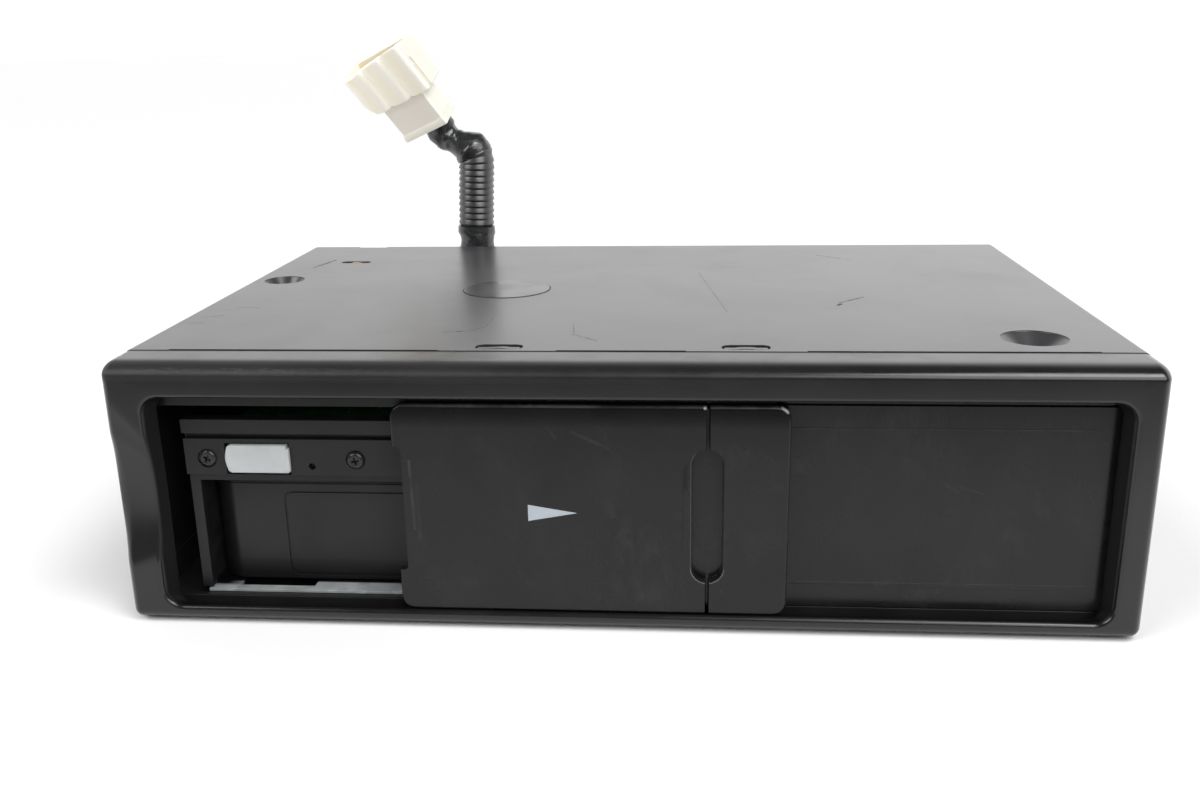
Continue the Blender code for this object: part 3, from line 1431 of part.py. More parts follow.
def make_cage():
    """The plated cage: a floor with a notch, a left wall, a top and four board standoffs."""
    cage = block(
        "magazine_cage",
        (CAGE_LEFT, CAGE_FRONT, CAGE_FLOOR_Z),
        (CAGE_RIGHT, CAGE_REAR, SHEET_FLOOR_TOP),
        ZINC,
    )
    wall = block(
        "cage_wall",
        (CAGE_LEFT, CAGE_TOP_SETBACK, CAGE_FLOOR_Z + SHEET / 4),
        (CAGE_LEFT + SHEET, CAGE_REAR, CAGE_TOP - SHEET / 4),
    )
    top = block(
        "cage_top",
        (CAGE_LEFT, CAGE_TOP_SETBACK, CAGE_CEILING),
        (CAGE_RIGHT, CAGE_REAR, CAGE_TOP),
    )
    fuse(cage, wall, top)
    notch = block(
        "cage_notch",
        (CAGE_LEFT + CAGE_NOTCH_INSET, CAGE_FRONT + CAGE_NOTCH_FRONT, CAGE_FLOOR_Z - OVERRUN),
        (
            CAGE_LEFT + CAGE_NOTCH_INSET + CAGE_NOTCH_WIDTH,
            CAGE_FRONT + CAGE_NOTCH_FRONT + CAGE_NOTCH_LENGTH,
            SHEET_FLOOR_TOP + OVERRUN,
        ),
    )
    cut(cage, notch)
    for row, x in enumerate((BOARD_LEFT + BOARD_INSET, BOARD_RIGHT - BOARD_INSET)):
        for column, y in enumerate((BOARD_FRONT + BOARD_INSET, CAGE_REAR - BOARD_INSET)):
            post = drum(
                f"standoff_{row}_{column}",
                (x, y, CAGE_CEILING + SHEET / 2),
                STANDOFF_HEIGHT + SHEET / 2,
                STANDOFF_RADIUS,
                sides=12,
            )
            fuse(cage, post)
    return cage


def make_dampers():
    """Four rubber dampers between the bottom sheet and the cage."""
    low = BOTTOM_SHEET + GAP
    high = CAGE_FLOOR_Z - GAP
    middle = (low + high) / 2
    profile = [
        (0, high),
        (DAMPER_RADIUS, high),
        (DAMPER_WAIST, middle),
        (DAMPER_RADIUS, low),
        (0, low),
    ]
    dampers = []
    places = [
        (x, y)
        for x in (CAGE_LEFT + DAMPER_INSET_X, CAGE_RIGHT - DAMPER_INSET_X)
        for y in (MAGAZINE_FRONT + DAMPER_INSET_FRONT, MAGAZINE_REAR - DAMPER_INSET_REAR)
    ]
    for number, (x, y) in enumerate(places):
        dampers.append(
            smooth(turned(f"damper_{number + 1}", profile, (x, y, 0), RUBBER, steps=16))
        )
    return dampers


def make_board():
    """The circuit board with its largest parts."""
    board = block(
        "main_board",
        (BOARD_LEFT, BOARD_FRONT, BOARD_Z),
        (BOARD_RIGHT, BOARD_REAR, BOARD_Z + BOARD_THICKNESS),
        BOARD_GREEN,
    )
    top = BOARD_Z + BOARD_THICKNESS + GAP
    chip = block(
        "control_chip",
        (CHIP_X - CHIP_SIZE / 2, CHIP_Y - CHIP_SIZE / 2, top),
        (CHIP_X + CHIP_SIZE / 2, CHIP_Y + CHIP_SIZE / 2, top + CHIP_HEIGHT),
        CHIP_BLACK,
    )
    can = drum(
        "power_capacitor",
        (CAPACITOR_X, CAPACITOR_Y, top),
        CAPACITOR_HEIGHT,
        CAPACITOR_RADIUS,
        material=CHIP_BLACK,
        sides=20,
    )
    middle = ROUTE[0][0]
    socket = block(
        "board_socket",
        (middle - SOCKET_WIDTH / 2, BOARD_REAR - SOCKET_DEPTH, top),
        (middle + SOCKET_WIDTH / 2, BOARD_REAR, top + SOCKET_HEIGHT),
        WHITE_ACETAL,
    )
    cavity = block(
        "socket_cavity",
        (middle - SOCKET_WIDTH / 2 + SOCKET_WALL, BOARD_REAR - SOCKET_CAVITY, top + SOCKET_WALL),
        (
            middle + SOCKET_WIDTH / 2 - SOCKET_WALL,
            BOARD_REAR + OVERRUN,
            top + SOCKET_HEIGHT - SOCKET_WALL,
        ),
    )
    return board, chip, smooth(can), cut(socket, cavity)


def post_places():
    """The three upright posts that guide the lift."""
    return [
        ("front", POST_RIGHT_X, POST_FRONT_Y),
        ("rear", POST_RIGHT_X, POST_REAR_Y),
        ("arm", SPINDLE_X, POST_ARM_Y),
    ]


def make_posts():
    """The upright guide posts, from the bottom sheet to just under the cover."""
    low = BOTTOM_SHEET + GAP
    high = COVER_UNDER - GAP
    return [
        smooth(drum(f"lift_post_{name}", (x, y, low), high - low, POST_RADIUS, material=STEEL, sides=16))
        for name, x, y in post_places()
    ]


def make_lift():
    """The lift plate with its bushes, its rod brackets and the pin for the cam."""
    top = LIFT_PLATE_Z + LIFT_PLATE_THICKNESS
    holes = [circle(x, y, BUSH_RADIUS - BUSH_WALL / 2, 16) for _, x, y in post_places()]
    outline = rounded(LIFT_LEFT, LIFT_FRONT, LIFT_RIGHT, LIFT_REAR, LIFT_CORNER, 3)
    lift = plate(
        "lift_plate", [outline, *holes], LIFT_PLATE_Z, LIFT_PLATE_THICKNESS, STEEL
    )
    for name, x, y in post_places():
        profile = [
            (POST_RADIUS + POST_CLEARANCE, top + BUSH_ABOVE),
            (BUSH_RADIUS, top + BUSH_ABOVE),
            (BUSH_RADIUS, LIFT_PLATE_Z - BUSH_BELOW),
            (POST_RADIUS + POST_CLEARANCE, LIFT_PLATE_Z - BUSH_BELOW),
        ]
        fuse(lift, turned(f"lift_bush_{name}", profile, (x, y, 0), steps=16))
    for name, x in (("inner", ROD_START), ("outer", ROD_END - BRACKET_THICKNESS)):
        bracket = block(
            f"rod_bracket_{name}",
            (x, SPINDLE_Y - BRACKET_HALF_WIDTH, LIFT_PLATE_Z - BRACKET_DROP),
            (x + BRACKET_THICKNESS, SPINDLE_Y + BRACKET_HALF_WIDTH, LIFT_PLATE_Z + GAP),
        )
        fuse(lift, bracket)
    for name, y in rod_places():
        bore = drum(
            f"rod_bore_{name}",
            (ROD_START - OVERRUN, y, ROD_Z),
            ROD_END - ROD_START + 2 * OVERRUN,
            ROD_RADIUS + ROD_CLEARANCE,
            "X",
            sides=16,
        )
        cut(lift, bore)
    pin = drum(
        "cam_pin",
        (LIFT_RIGHT - OVERRUN, CAM_PIN_Y, CAM_PIN_Z),
        OVERRUN + CAM_LEFT - LIFT_RIGHT + CAM_THICKNESS,
        CAM_PIN_RADIUS,
        "X",
        sides=16,
    )
    lug = block(
        "cam_lug",
        (LIFT_RIGHT - BUSH_WALL, CAM_PIN_Y - 2 * CAM_PIN_RADIUS, LIFT_PLATE_Z + GAP),
        (LIFT_RIGHT + GAP, CAM_PIN_Y + 2 * CAM_PIN_RADIUS, CAM_PIN_Z + 2 * CAM_PIN_RADIUS),
    )
    return fuse(lift, lug, pin)


def rod_places():
    """The two guide rods and the feed screw, by name and distance from the front."""
    return [
        ("front", SPINDLE_Y - ROD_SPACING / 2),
        ("rear", SPINDLE_Y + ROD_SPACING / 2),
        ("screw", SPINDLE_Y + SCREW_THREAD_OFFSET),
    ]


def make_rods():
    """The two rods the pickup runs on."""
    rods = []
    for name, y in rod_places()[:2]:
        rods.append(
            smooth(
                drum(
                    f"guide_rod_{name}",
                    (ROD_START, y, ROD_Z),
                    ROD_END - ROD_START,
                    ROD_RADIUS,
                    "X",
                    STEEL,
                    sides=12,
                )
            )
        )
    return rods


def make_feed_screw():
    """The feed screw, which turns in the brackets and reaches into its motor."""
    _, y = rod_places()[2]
    return smooth(
        drum(
            "feed_screw",
            (ROD_START - FEED_MOTOR_NOSE - GAP, y, ROD_Z),
            ROD_END - ROD_START + FEED_MOTOR_NOSE + GAP,
            ROD_RADIUS,
            "X",
            STEEL,
            sides=12,
        )
    )


def make_feed_motor():
    """The small motor at the inner end of the feed screw."""
    _, y = rod_places()[2]
    motor = drum(
        "feed_motor",
        (ROD_START - GAP - FEED_MOTOR_LENGTH, y, LIFT_PLATE_Z - GAP - FEED_MOTOR_RADIUS),
        FEED_MOTOR_LENGTH,
        FEED_MOTOR_RADIUS,
        "X",
        STEEL,
        sides=20,
    )
    bore = drum(
        "feed_motor_bore",
        (ROD_START - 2 * GAP - FEED_MOTOR_NOSE - OVERRUN / 2, y, ROD_Z),
        FEED_MOTOR_NOSE + 2 * OVERRUN,
        ROD_RADIUS + ROD_CLEARANCE,
        "X",
        sides=12,
    )
    return smooth(cut(motor, bore))


def make_spindle():
    """The spindle motor under the lift plate and the turntable that it turns."""
    motor_profile = [
        (MOTOR_BORE, MOTOR_TOP),
        (MOTOR_RADIUS, MOTOR_TOP),
        (MOTOR_RADIUS, MOTOR_BOTTOM),
        (MOTOR_BORE, MOTOR_BOTTOM),
    ]
    motor = turned("spindle_motor", motor_profile, (SPINDLE_X, SPINDLE_Y, 0), STEEL, steps=28)
    hub_top = MOTOR_BOTTOM - GAP
    plate_top = hub_top - HUB_RISE
    plate_low = plate_top - TURNTABLE_THICKNESS
    boss_low = plate_low - TURNTABLE_BOSS
    rim = TURNTABLE_BOSS_RADIUS
    profile = [
        (0, MOTOR_BOTTOM + SHAFT_LENGTH),
        (SHAFT_RADIUS, MOTOR_BOTTOM + SHAFT_LENGTH),
        (SHAFT_RADIUS, hub_top),
        (TURNTABLE_HUB_RADIUS, hub_top),
        (TURNTABLE_HUB_RADIUS, plate_top),
        (TURNTABLE_RADIUS, plate_top),
        (TURNTABLE_RADIUS, plate_low),
        (rim, plate_low),
        (rim * 0.8, boss_low),
        (0, boss_low),
    ]
    table = turned("turntable", profile, (SPINDLE_X, SPINDLE_Y, 0), WHITE_ACETAL, steps=28)
    return smooth(motor), smooth(table)


def make_pickup():
    """The optical pickup: a sled on two rods, with its lens looking down at the disc."""
    rear = rod_places()[2][1] + ROD_RADIUS * 2
    front = rear - PICKUP_WIDTH
    sled = block(
        "optical_pickup",
        (PICKUP_X - PICKUP_LENGTH / 2, front, PICKUP_BOTTOM),
        (PICKUP_X + PICKUP_LENGTH / 2, rear, PICKUP_TOP),
        PICKUP_PLASTIC,
    )
    for name, y in rod_places():
        bore = drum(
            f"pickup_bore_{name}",
            (PICKUP_X - PICKUP_LENGTH / 2 - OVERRUN, y, ROD_Z),
            PICKUP_LENGTH + 2 * OVERRUN,
            ROD_RADIUS + ROD_CLEARANCE,
            "X",
            sides=16,
        )
        cut(sled, bore)
    lens = drum(
        "pickup_lens",
        (PICKUP_X, SPINDLE_Y, PICKUP_BOTTOM - LENS_HEIGHT),
        LENS_HEIGHT + OVERRUN,
        LENS_RADIUS,
        sides=20,
    )
    return fuse(sled, lens)


def make_clamp():
    """The clamp arm on the rear post and the free-turning puck at its end."""
    far = POST_ARM_Y
    half = ARM_WIDTH / 2
    middle = (SPINDLE_X, SPINDLE_Y)
    outline = arc(middle, half, 180, 360, 8) + arc((SPINDLE_X, far), half, 0, 180, 8)
    holes = [
        circle(SPINDLE_X, SPINDLE_Y, PUCK_STEM_RADIUS + GAP, 16),
        circle(SPINDLE_X, far, BUSH_RADIUS - BUSH_WALL / 2, 16),
    ]
    arm = plate("clamp_arm", [outline, *holes], ARM_Z, ARM_THICKNESS, STEEL)
    bush_profile = [
        (POST_RADIUS + POST_CLEARANCE, ARM_Z + ARM_BUSH_HEIGHT),
        (BUSH_RADIUS, ARM_Z + ARM_BUSH_HEIGHT),
        (BUSH_RADIUS, ARM_Z),
        (POST_RADIUS + POST_CLEARANCE, ARM_Z),
    ]
    fuse(arm, turned("arm_bush", bush_profile, (SPINDLE_X, far, 0), steps=16))
    low = ARM_Z - GAP
    profile = [
        (0, PUCK_BOTTOM + PUCK_THICKNESS),
        (PUCK_RADIUS, PUCK_BOTTOM + PUCK_THICKNESS),
        (PUCK_RADIUS, PUCK_BOTTOM),
        (PUCK_STEM_RADIUS, PUCK_BOTTOM),
        (PUCK_STEM_RADIUS, low),
        (PUCK_CAP_RADIUS, low),
        (PUCK_CAP_RADIUS, low - PUCK_CAP),
        (0, low - PUCK_CAP),
    ]
    puck = turned("clamp_puck", profile, (SPINDLE_X, SPINDLE_Y, 0), WHITE_ACETAL, steps=28)
    return arm, smooth(puck)


def make_cam():
    """The sliding cam plate with the slanted slot that moves the lift's pin."""
    reach = CAM_PIN_RADIUS + CAM_CLEARANCE
    near_y = CAM_PIN_Y - CAM_TRAVEL
    low_z = CAM_PIN_Z - LIFT_TRAVEL
    slope = math.degrees(math.atan2(LIFT_TRAVEL, CAM_TRAVEL))
    slot = arc((CAM_PIN_Y, CAM_PIN_Z), reach, slope - 90, slope + 90, 6)
    slot += arc((near_y, low_z), reach, slope + 90, slope + 270, 6)
    bottom = BOTTOM_SHEET + GAP
    top = CAM_PIN_Z + reach + CAM_TOP_MARGIN
    outline = rectangle(near_y - CAM_MARGIN, bottom, CAM_PIN_Y + CAM_MARGIN, top)
    hole = circle(
        CAM_PIN_Y - 2 * CAM_LIGHTENING_RADIUS,
        low_z - CAM_LIGHTENING_RADIUS,
        CAM_LIGHTENING_RADIUS,
        16,
    )
    return plate("lift_cam", [outline, slot, hole], CAM_LEFT, CAM_THICKNESS, STEEL, "X")


def smooth_route(first, last, steps):
    """Points on a smooth curve through the route's own points, with their wire radii."""
    points = [Vector(p) for p in ROUTE]
    padded = [2 * points[0] - points[1], *points, 2 * points[-1] - points[-2]]
    line = []
    radii = []
    for i in range(first, last):
        a, b, c, d = padded[i : i + 4]
        for step in range(steps):
            t = step / steps
            bend = (2 * a - 5 * b + 4 * c - d) * t * t + (3 * b - a - 3 * c + d) * t * t * t
            line.append((2 * b + (c - a) * t + bend) / 2)
            share = ROUTE_RADIUS_SHARES[i] * (1 - t) + ROUTE_RADIUS_SHARES[i + 1] * t
            radii.append(WIRE_RADIUS * share)
    line.append(points[last])
    radii.append(WIRE_RADIUS * ROUTE_RADIUS_SHARES[last])
    return line, radii


def make_grommet():
    """The rubber grommet in the rear panel, round the wires."""
    bore = WIRE_RADIUS + GAP
    outside = REAR_PANEL_BACK + GAP
    inside = REAR_PANEL_FRONT - GAP
    profile = [
        (bore, outside + GROMMET_FLANGE),
        (GROMMET_NECK_RADIUS, outside + GROMMET_FLANGE),
        (GROMMET_FLANGE_RADIUS, outside + GROMMET_FLANGE / 2),
        (GROMMET_FLANGE_RADIUS, outside),
        (GROMMET_NECK_RADIUS, outside),
        (GROMMET_NECK_RADIUS, inside),
        (GROMMET_FLANGE_RADIUS, inside),
        (GROMMET_FLANGE_RADIUS, inside - GROMMET_FLANGE),
        (bore, inside - GROMMET_FLANGE),
    ]
    x, _, z = ROUTE[0]
    return smooth(turned("harness_grommet", profile, (x, 0, z), RUBBER, "Y", 24))


def make_harness():
    """The wires, the taped sleeve low on them and the ribbed loom above it."""
    line, radii = smooth_route(0, len(ROUTE) - 1, ROUTE_STEPS)
    wires = tube("harness_wires", line, radii, TAPE)
    lower, _ = smooth_route(TAPED_FIRST, LOOM_FIRST, ROUTE_STEPS)
    flange_face = REAR_PANEL_BACK + 2 * GAP + GROMMET_FLANGE
    lower.insert(0, Vector((ROUTE[0][0], flange_face, ROUTE[0][2])))
    sleeve = tube("harness_sleeve", lower, [TAPED_RADIUS] * len(lower), TAPE, 3)
    before = lower[0] - Vector((0, OVERRUN, 0))
    after = lower[-1] + (lower[-1] - lower[-2]).normalized() * OVERRUN
    inside = [before, *lower, after]
    bore_radius = WIRE_RADIUS + WIRE_CLEARANCE
    bore = tube("sleeve_bore", inside, [bore_radius] * len(inside), None, 3)
    cut(sleeve, bore)
    return smooth(wires), smooth(sleeve), make_loom(lower[-1])


def make_loom(below):
    """The ribbed loom: crests and roots in turn between two plain collars, with its bore."""
    end = Vector(ROUTE[LOOM_LAST])
    way = (end - below).normalized()
    start = below + way * GAP
    end -= way * OVERRUN
    length = (end - start).length
    ribs = int((length - 2 * LOOM_COLLAR) / RIB_PITCH)
    ribbed = ribs * RIB_PITCH
    collar = (length - ribbed) / 2
    spots = [(0, RIB_ROOT_RADIUS), (collar, RIB_ROOT_RADIUS)]
    for number in range(ribs):
        at = collar + number * RIB_PITCH
        spots.append((at + RIB_PITCH / 2, RIB_RADIUS))
        spots.append((at + RIB_PITCH, RIB_ROOT_RADIUS))
    spots.append((length, RIB_ROOT_RADIUS))
    points = [start + way * at for at, _ in spots]
    loom = tube("harness_loom", points, [radius for _, radius in spots], LOOM_BLACK)
    ends = [start - way * OVERRUN, end + way * OVERRUN]
    bore = tube("loom_bore", ends, [LOOM_BORE_RADIUS] * 2, None, 3)
    return smooth(cut(loom, bore))


def connector_frame():
    """The connector's axes: along it, across it and through its thickness."""
    along = CONNECTOR_AXIS.normalized()
    across = (CONNECTOR_ACROSS - along * CONNECTOR_ACROSS.dot(along)).normalized()
    return along, across, along.cross(across)


def place_on_connector(thing):
    """Puts a block made on the connector's own axes in its place on the wires."""
    along, across, through = connector_frame()
    turn = Matrix((across, through, along)).transposed().to_4x4()
    thing.matrix_local = Matrix.Translation(Vector(CONNECTOR_BASE)) @ turn
    return thing


def connector_block(name, start, length, width, height, material=None, sideways=0):
    """A block on the connector's own axes, by its start along the axis and its size."""
    low = (sideways - width / 2, -height / 2, start)
    high = (sideways + width / 2, height / 2, start + length)
    thing = block(name, low, high, material)
    thing.data.transform(Matrix.Translation(thing.location))
    return place_on_connector(thing)


def make_connector():
    """The two-piece connector: a holder for the wires and a lobed shell in front of it."""
    holder = connector_block(
        "connector_holder", 0, HOLDER_LENGTH, HOLDER_WIDTH, HOLDER_HEIGHT, CONNECTOR_IVORY
    )
    collar = connector_block(
        "connector_collar",
        0,
        COLLAR_LENGTH,
        HOLDER_WIDTH + 2 * COLLAR_RISE,
        HOLDER_HEIGHT + 2 * COLLAR_RISE,
    )
    fuse(holder, collar)
    start = HOLDER_LENGTH + GAP
    shell = connector_block(
        "connector_shell", start, SHELL_LENGTH, SHELL_WIDTH, SHELL_HEIGHT, CONNECTOR_IVORY
    )
    mouth = connector_block(
        "connector_mouth",
        start + SHELL_FLOOR,
        SHELL_LENGTH,
        SHELL_WIDTH - 2 * (SHELL_WALL + LOBE_GROOVE_DEPTH),
        SHELL_HEIGHT - 2 * (SHELL_WALL + LOBE_GROOVE_DEPTH),
    )
    cut(shell, mouth)
    lobe = SHELL_WIDTH / LOBE_COUNT
    for number in range(1, LOBE_COUNT):
        sideways = number * lobe - SHELL_WIDTH / 2
        for face in (-1, 1):
            groove = connector_block(
                f"lobe_groove_{number}_{face + 1}",
                start - OVERRUN,
                SHELL_LENGTH + 2 * OVERRUN,
                LOBE_GROOVE_WIDTH,
                2 * LOBE_GROOVE_DEPTH,
                None,
                sideways,
            )
            shift = Matrix.Translation((0, face * SHELL_HEIGHT / 2, 0))
            groove.data.transform(shift)
            cut(shell, groove)
    return holder, shell


def build():
    """Makes every piece of the changer."""
    make_bezel()
    make_cover()
    make_sticker()
    make_view_screw()
    make_bottom()
    make_rear_panel()
    make_outer_leaf()
    make_inner_leaf()
    make_tracks()
    make_fixed_panel()
    make_bay_frame()
    make_button_plate()
    make_plate_screw("plate_screw_left", SCREW_LEFT_X)
    make_plate_screw("plate_screw_right", SCREW_RIGHT_X)
    make_button()
    make_magazine()
    for number in range(TRAY_COUNT):
        make_tray(number)
        make_disc(number)
    make_cage()
    make_dampers()
    make_board()
    make_posts()
    make_lift()
    make_rods()
    make_feed_screw()
    make_feed_motor()
    make_spindle()
    make_pickup()
    make_clamp()
    make_cam()
    make_grommet()
    make_harness()
    make_connector()


build()
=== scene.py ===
# %% [markdown]
# # A car disc changer, dressed for the camera
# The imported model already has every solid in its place. This lesson adds what a camera sees:
# rounded edges, fine surfaces, a ribbed loom, a moulded connector and soft studio light.
# Lengths are metres, the front of the case looks along -Y and the case stands on Z = 0.

# %% Load the frame
import math

import bmesh
import bpy
from mathutils import Matrix, Vector, noise
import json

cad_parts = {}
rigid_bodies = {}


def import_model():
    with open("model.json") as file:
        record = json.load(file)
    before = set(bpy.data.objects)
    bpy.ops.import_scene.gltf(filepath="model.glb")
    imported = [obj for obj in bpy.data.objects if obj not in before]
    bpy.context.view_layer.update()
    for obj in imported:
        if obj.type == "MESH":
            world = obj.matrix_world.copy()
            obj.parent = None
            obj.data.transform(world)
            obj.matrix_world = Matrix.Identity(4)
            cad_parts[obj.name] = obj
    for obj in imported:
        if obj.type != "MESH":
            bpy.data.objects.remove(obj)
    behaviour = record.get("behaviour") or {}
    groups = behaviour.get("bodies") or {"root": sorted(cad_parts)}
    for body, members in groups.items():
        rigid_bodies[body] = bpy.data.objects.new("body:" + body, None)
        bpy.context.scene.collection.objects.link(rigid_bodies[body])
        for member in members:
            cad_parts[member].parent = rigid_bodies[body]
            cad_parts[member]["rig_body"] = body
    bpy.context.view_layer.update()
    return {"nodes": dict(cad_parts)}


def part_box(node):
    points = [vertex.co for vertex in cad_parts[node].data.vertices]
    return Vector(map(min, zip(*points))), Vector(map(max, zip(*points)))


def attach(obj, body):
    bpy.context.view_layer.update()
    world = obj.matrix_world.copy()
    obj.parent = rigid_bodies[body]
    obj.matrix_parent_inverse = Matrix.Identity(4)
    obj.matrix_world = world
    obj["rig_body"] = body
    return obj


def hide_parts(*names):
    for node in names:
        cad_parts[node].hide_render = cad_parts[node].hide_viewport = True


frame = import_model()
MM = 0.001
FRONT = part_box("bezel")[0].y


def at(x, y, z):
    """A point given in mm, with y measured from the front of the bezel."""
    return Vector((x * MM, FRONT + y * MM, z * MM))


def link(name, data):
    """An object at the origin for a mesh, a curve, a lamp or a camera."""
    thing = bpy.data.objects.new(name, data)
    bpy.context.scene.collection.objects.link(thing)
    return thing


print("nodes", len(frame["nodes"]), "front face at", round(FRONT / MM, 2), "mm")

# %% [markdown]
# ## The camera
# The picture was taken from a little right of the middle, looking down at 17 degrees. The four
# corners of the case fix the place, the turn and the lens, so they are typed as measured.

# %% Camera
EYE = at(18.19, -270.77, 145.70)
EYE_YAW, EYE_PITCH, EYE_ROLL = (math.radians(a) for a in (-4.7234, 16.9916, -1.0217))
EYE_LENS, EYE_SENSOR, EYE_NEAR = 35.091, 36, 10 * MM


def heading(yaw, pitch):
    """The direction with a yaw to the right and a pitch down."""
    level = math.cos(pitch)
    return Vector((math.sin(yaw) * level, math.cos(yaw) * level, -math.sin(pitch)))


def aim(yaw, pitch, roll):
    """The camera's axes as columns: right, up and backwards."""
    ahead = heading(yaw, pitch)
    level = Vector((math.cos(yaw), -math.sin(yaw), 0))
    up = level.cross(ahead)
    right = level * math.cos(roll) + up * math.sin(roll)
    top = up * math.cos(roll) - level * math.sin(roll)
    return Matrix((right, top, -ahead)).transposed()


camera = link("camera", bpy.data.cameras.new("camera"))
camera.matrix_world = Matrix.Translation(EYE) @ aim(EYE_YAW, EYE_PITCH, EYE_ROLL).to_4x4()
camera.data.sensor_width, camera.data.lens, camera.data.clip_start = EYE_SENSOR, EYE_LENS, EYE_NEAR
bpy.context.scene.camera = camera
print("camera at", [round(v, 3) for v in EYE])

# %% [markdown]
# ## Sums of nodes as plain Python
# A finish is easier to read as a sum than as a web of nodes. `Wire` wraps one socket, and its
# operators add Math nodes. `Web` adds any other node to a tree. `Finish` is the web of a material
# and keeps the pattern coordinates in millimetres, so a noise scale of 2 has two cells in each.

# %% Wires and webs
def operator(operation):
    """A method that joins two wires, or a wire and a number, by a Math node."""
    return lambda self, other: self.sum(operation, self, other)


class Wire:
    """A socket that can stand in a sum."""

    def __init__(self, web, socket):
        self.web = web
        self.socket = socket

    def sum(self, operation, *values):
        return self.web.add("ShaderNodeMath", dict(enumerate(values)), operation=operation)

    def __rsub__(self, other):
        return self.sum("SUBTRACT", other, self)

    def __abs__(self):
        return self.sum("ABSOLUTE", self)

    __add__ = __radd__ = operator("ADD")
    __sub__ = operator("SUBTRACT")
    __mul__ = __rmul__ = operator("MULTIPLY")
    __truediv__ = operator("DIVIDE")
    __lt__ = operator("LESS_THAN")
    __gt__ = operator("GREATER_THAN")


class Web:
    """A tree of nodes in the making: of a material, of the sky or of Geometry Nodes."""

    def __init__(self, tree):
        self.nodes, self.links = tree.nodes, tree.links

    def feed(self, socket, value):
        """Leads a wire into a socket, or sets the socket to a number or a colour."""
        if isinstance(value, Wire):
            self.links.new(value.socket, socket)
        else:
            socket.default_value = value

    def add(self, kind, values, out=0, **settings):
        """Any node, from its type, what its sockets get and its settings."""
        node = self.nodes.new(kind)
        for key, value in settings.items():
            setattr(node, key, value)
        for key, value in values.items():
            self.feed(node.inputs[key], value)
        return Wire(self, node.outputs[out])

    def ramp(self, value, low, high, start=0.0, end=1.0):
        """start below low, end above high and a straight line between."""
        values = dict(enumerate((value, low, high, start, end)))
        return self.add("ShaderNodeMapRange", values, clamp=True)


# %% Finishes
FINISHES = {}


def grey(shade):
    return (shade, shade, shade)


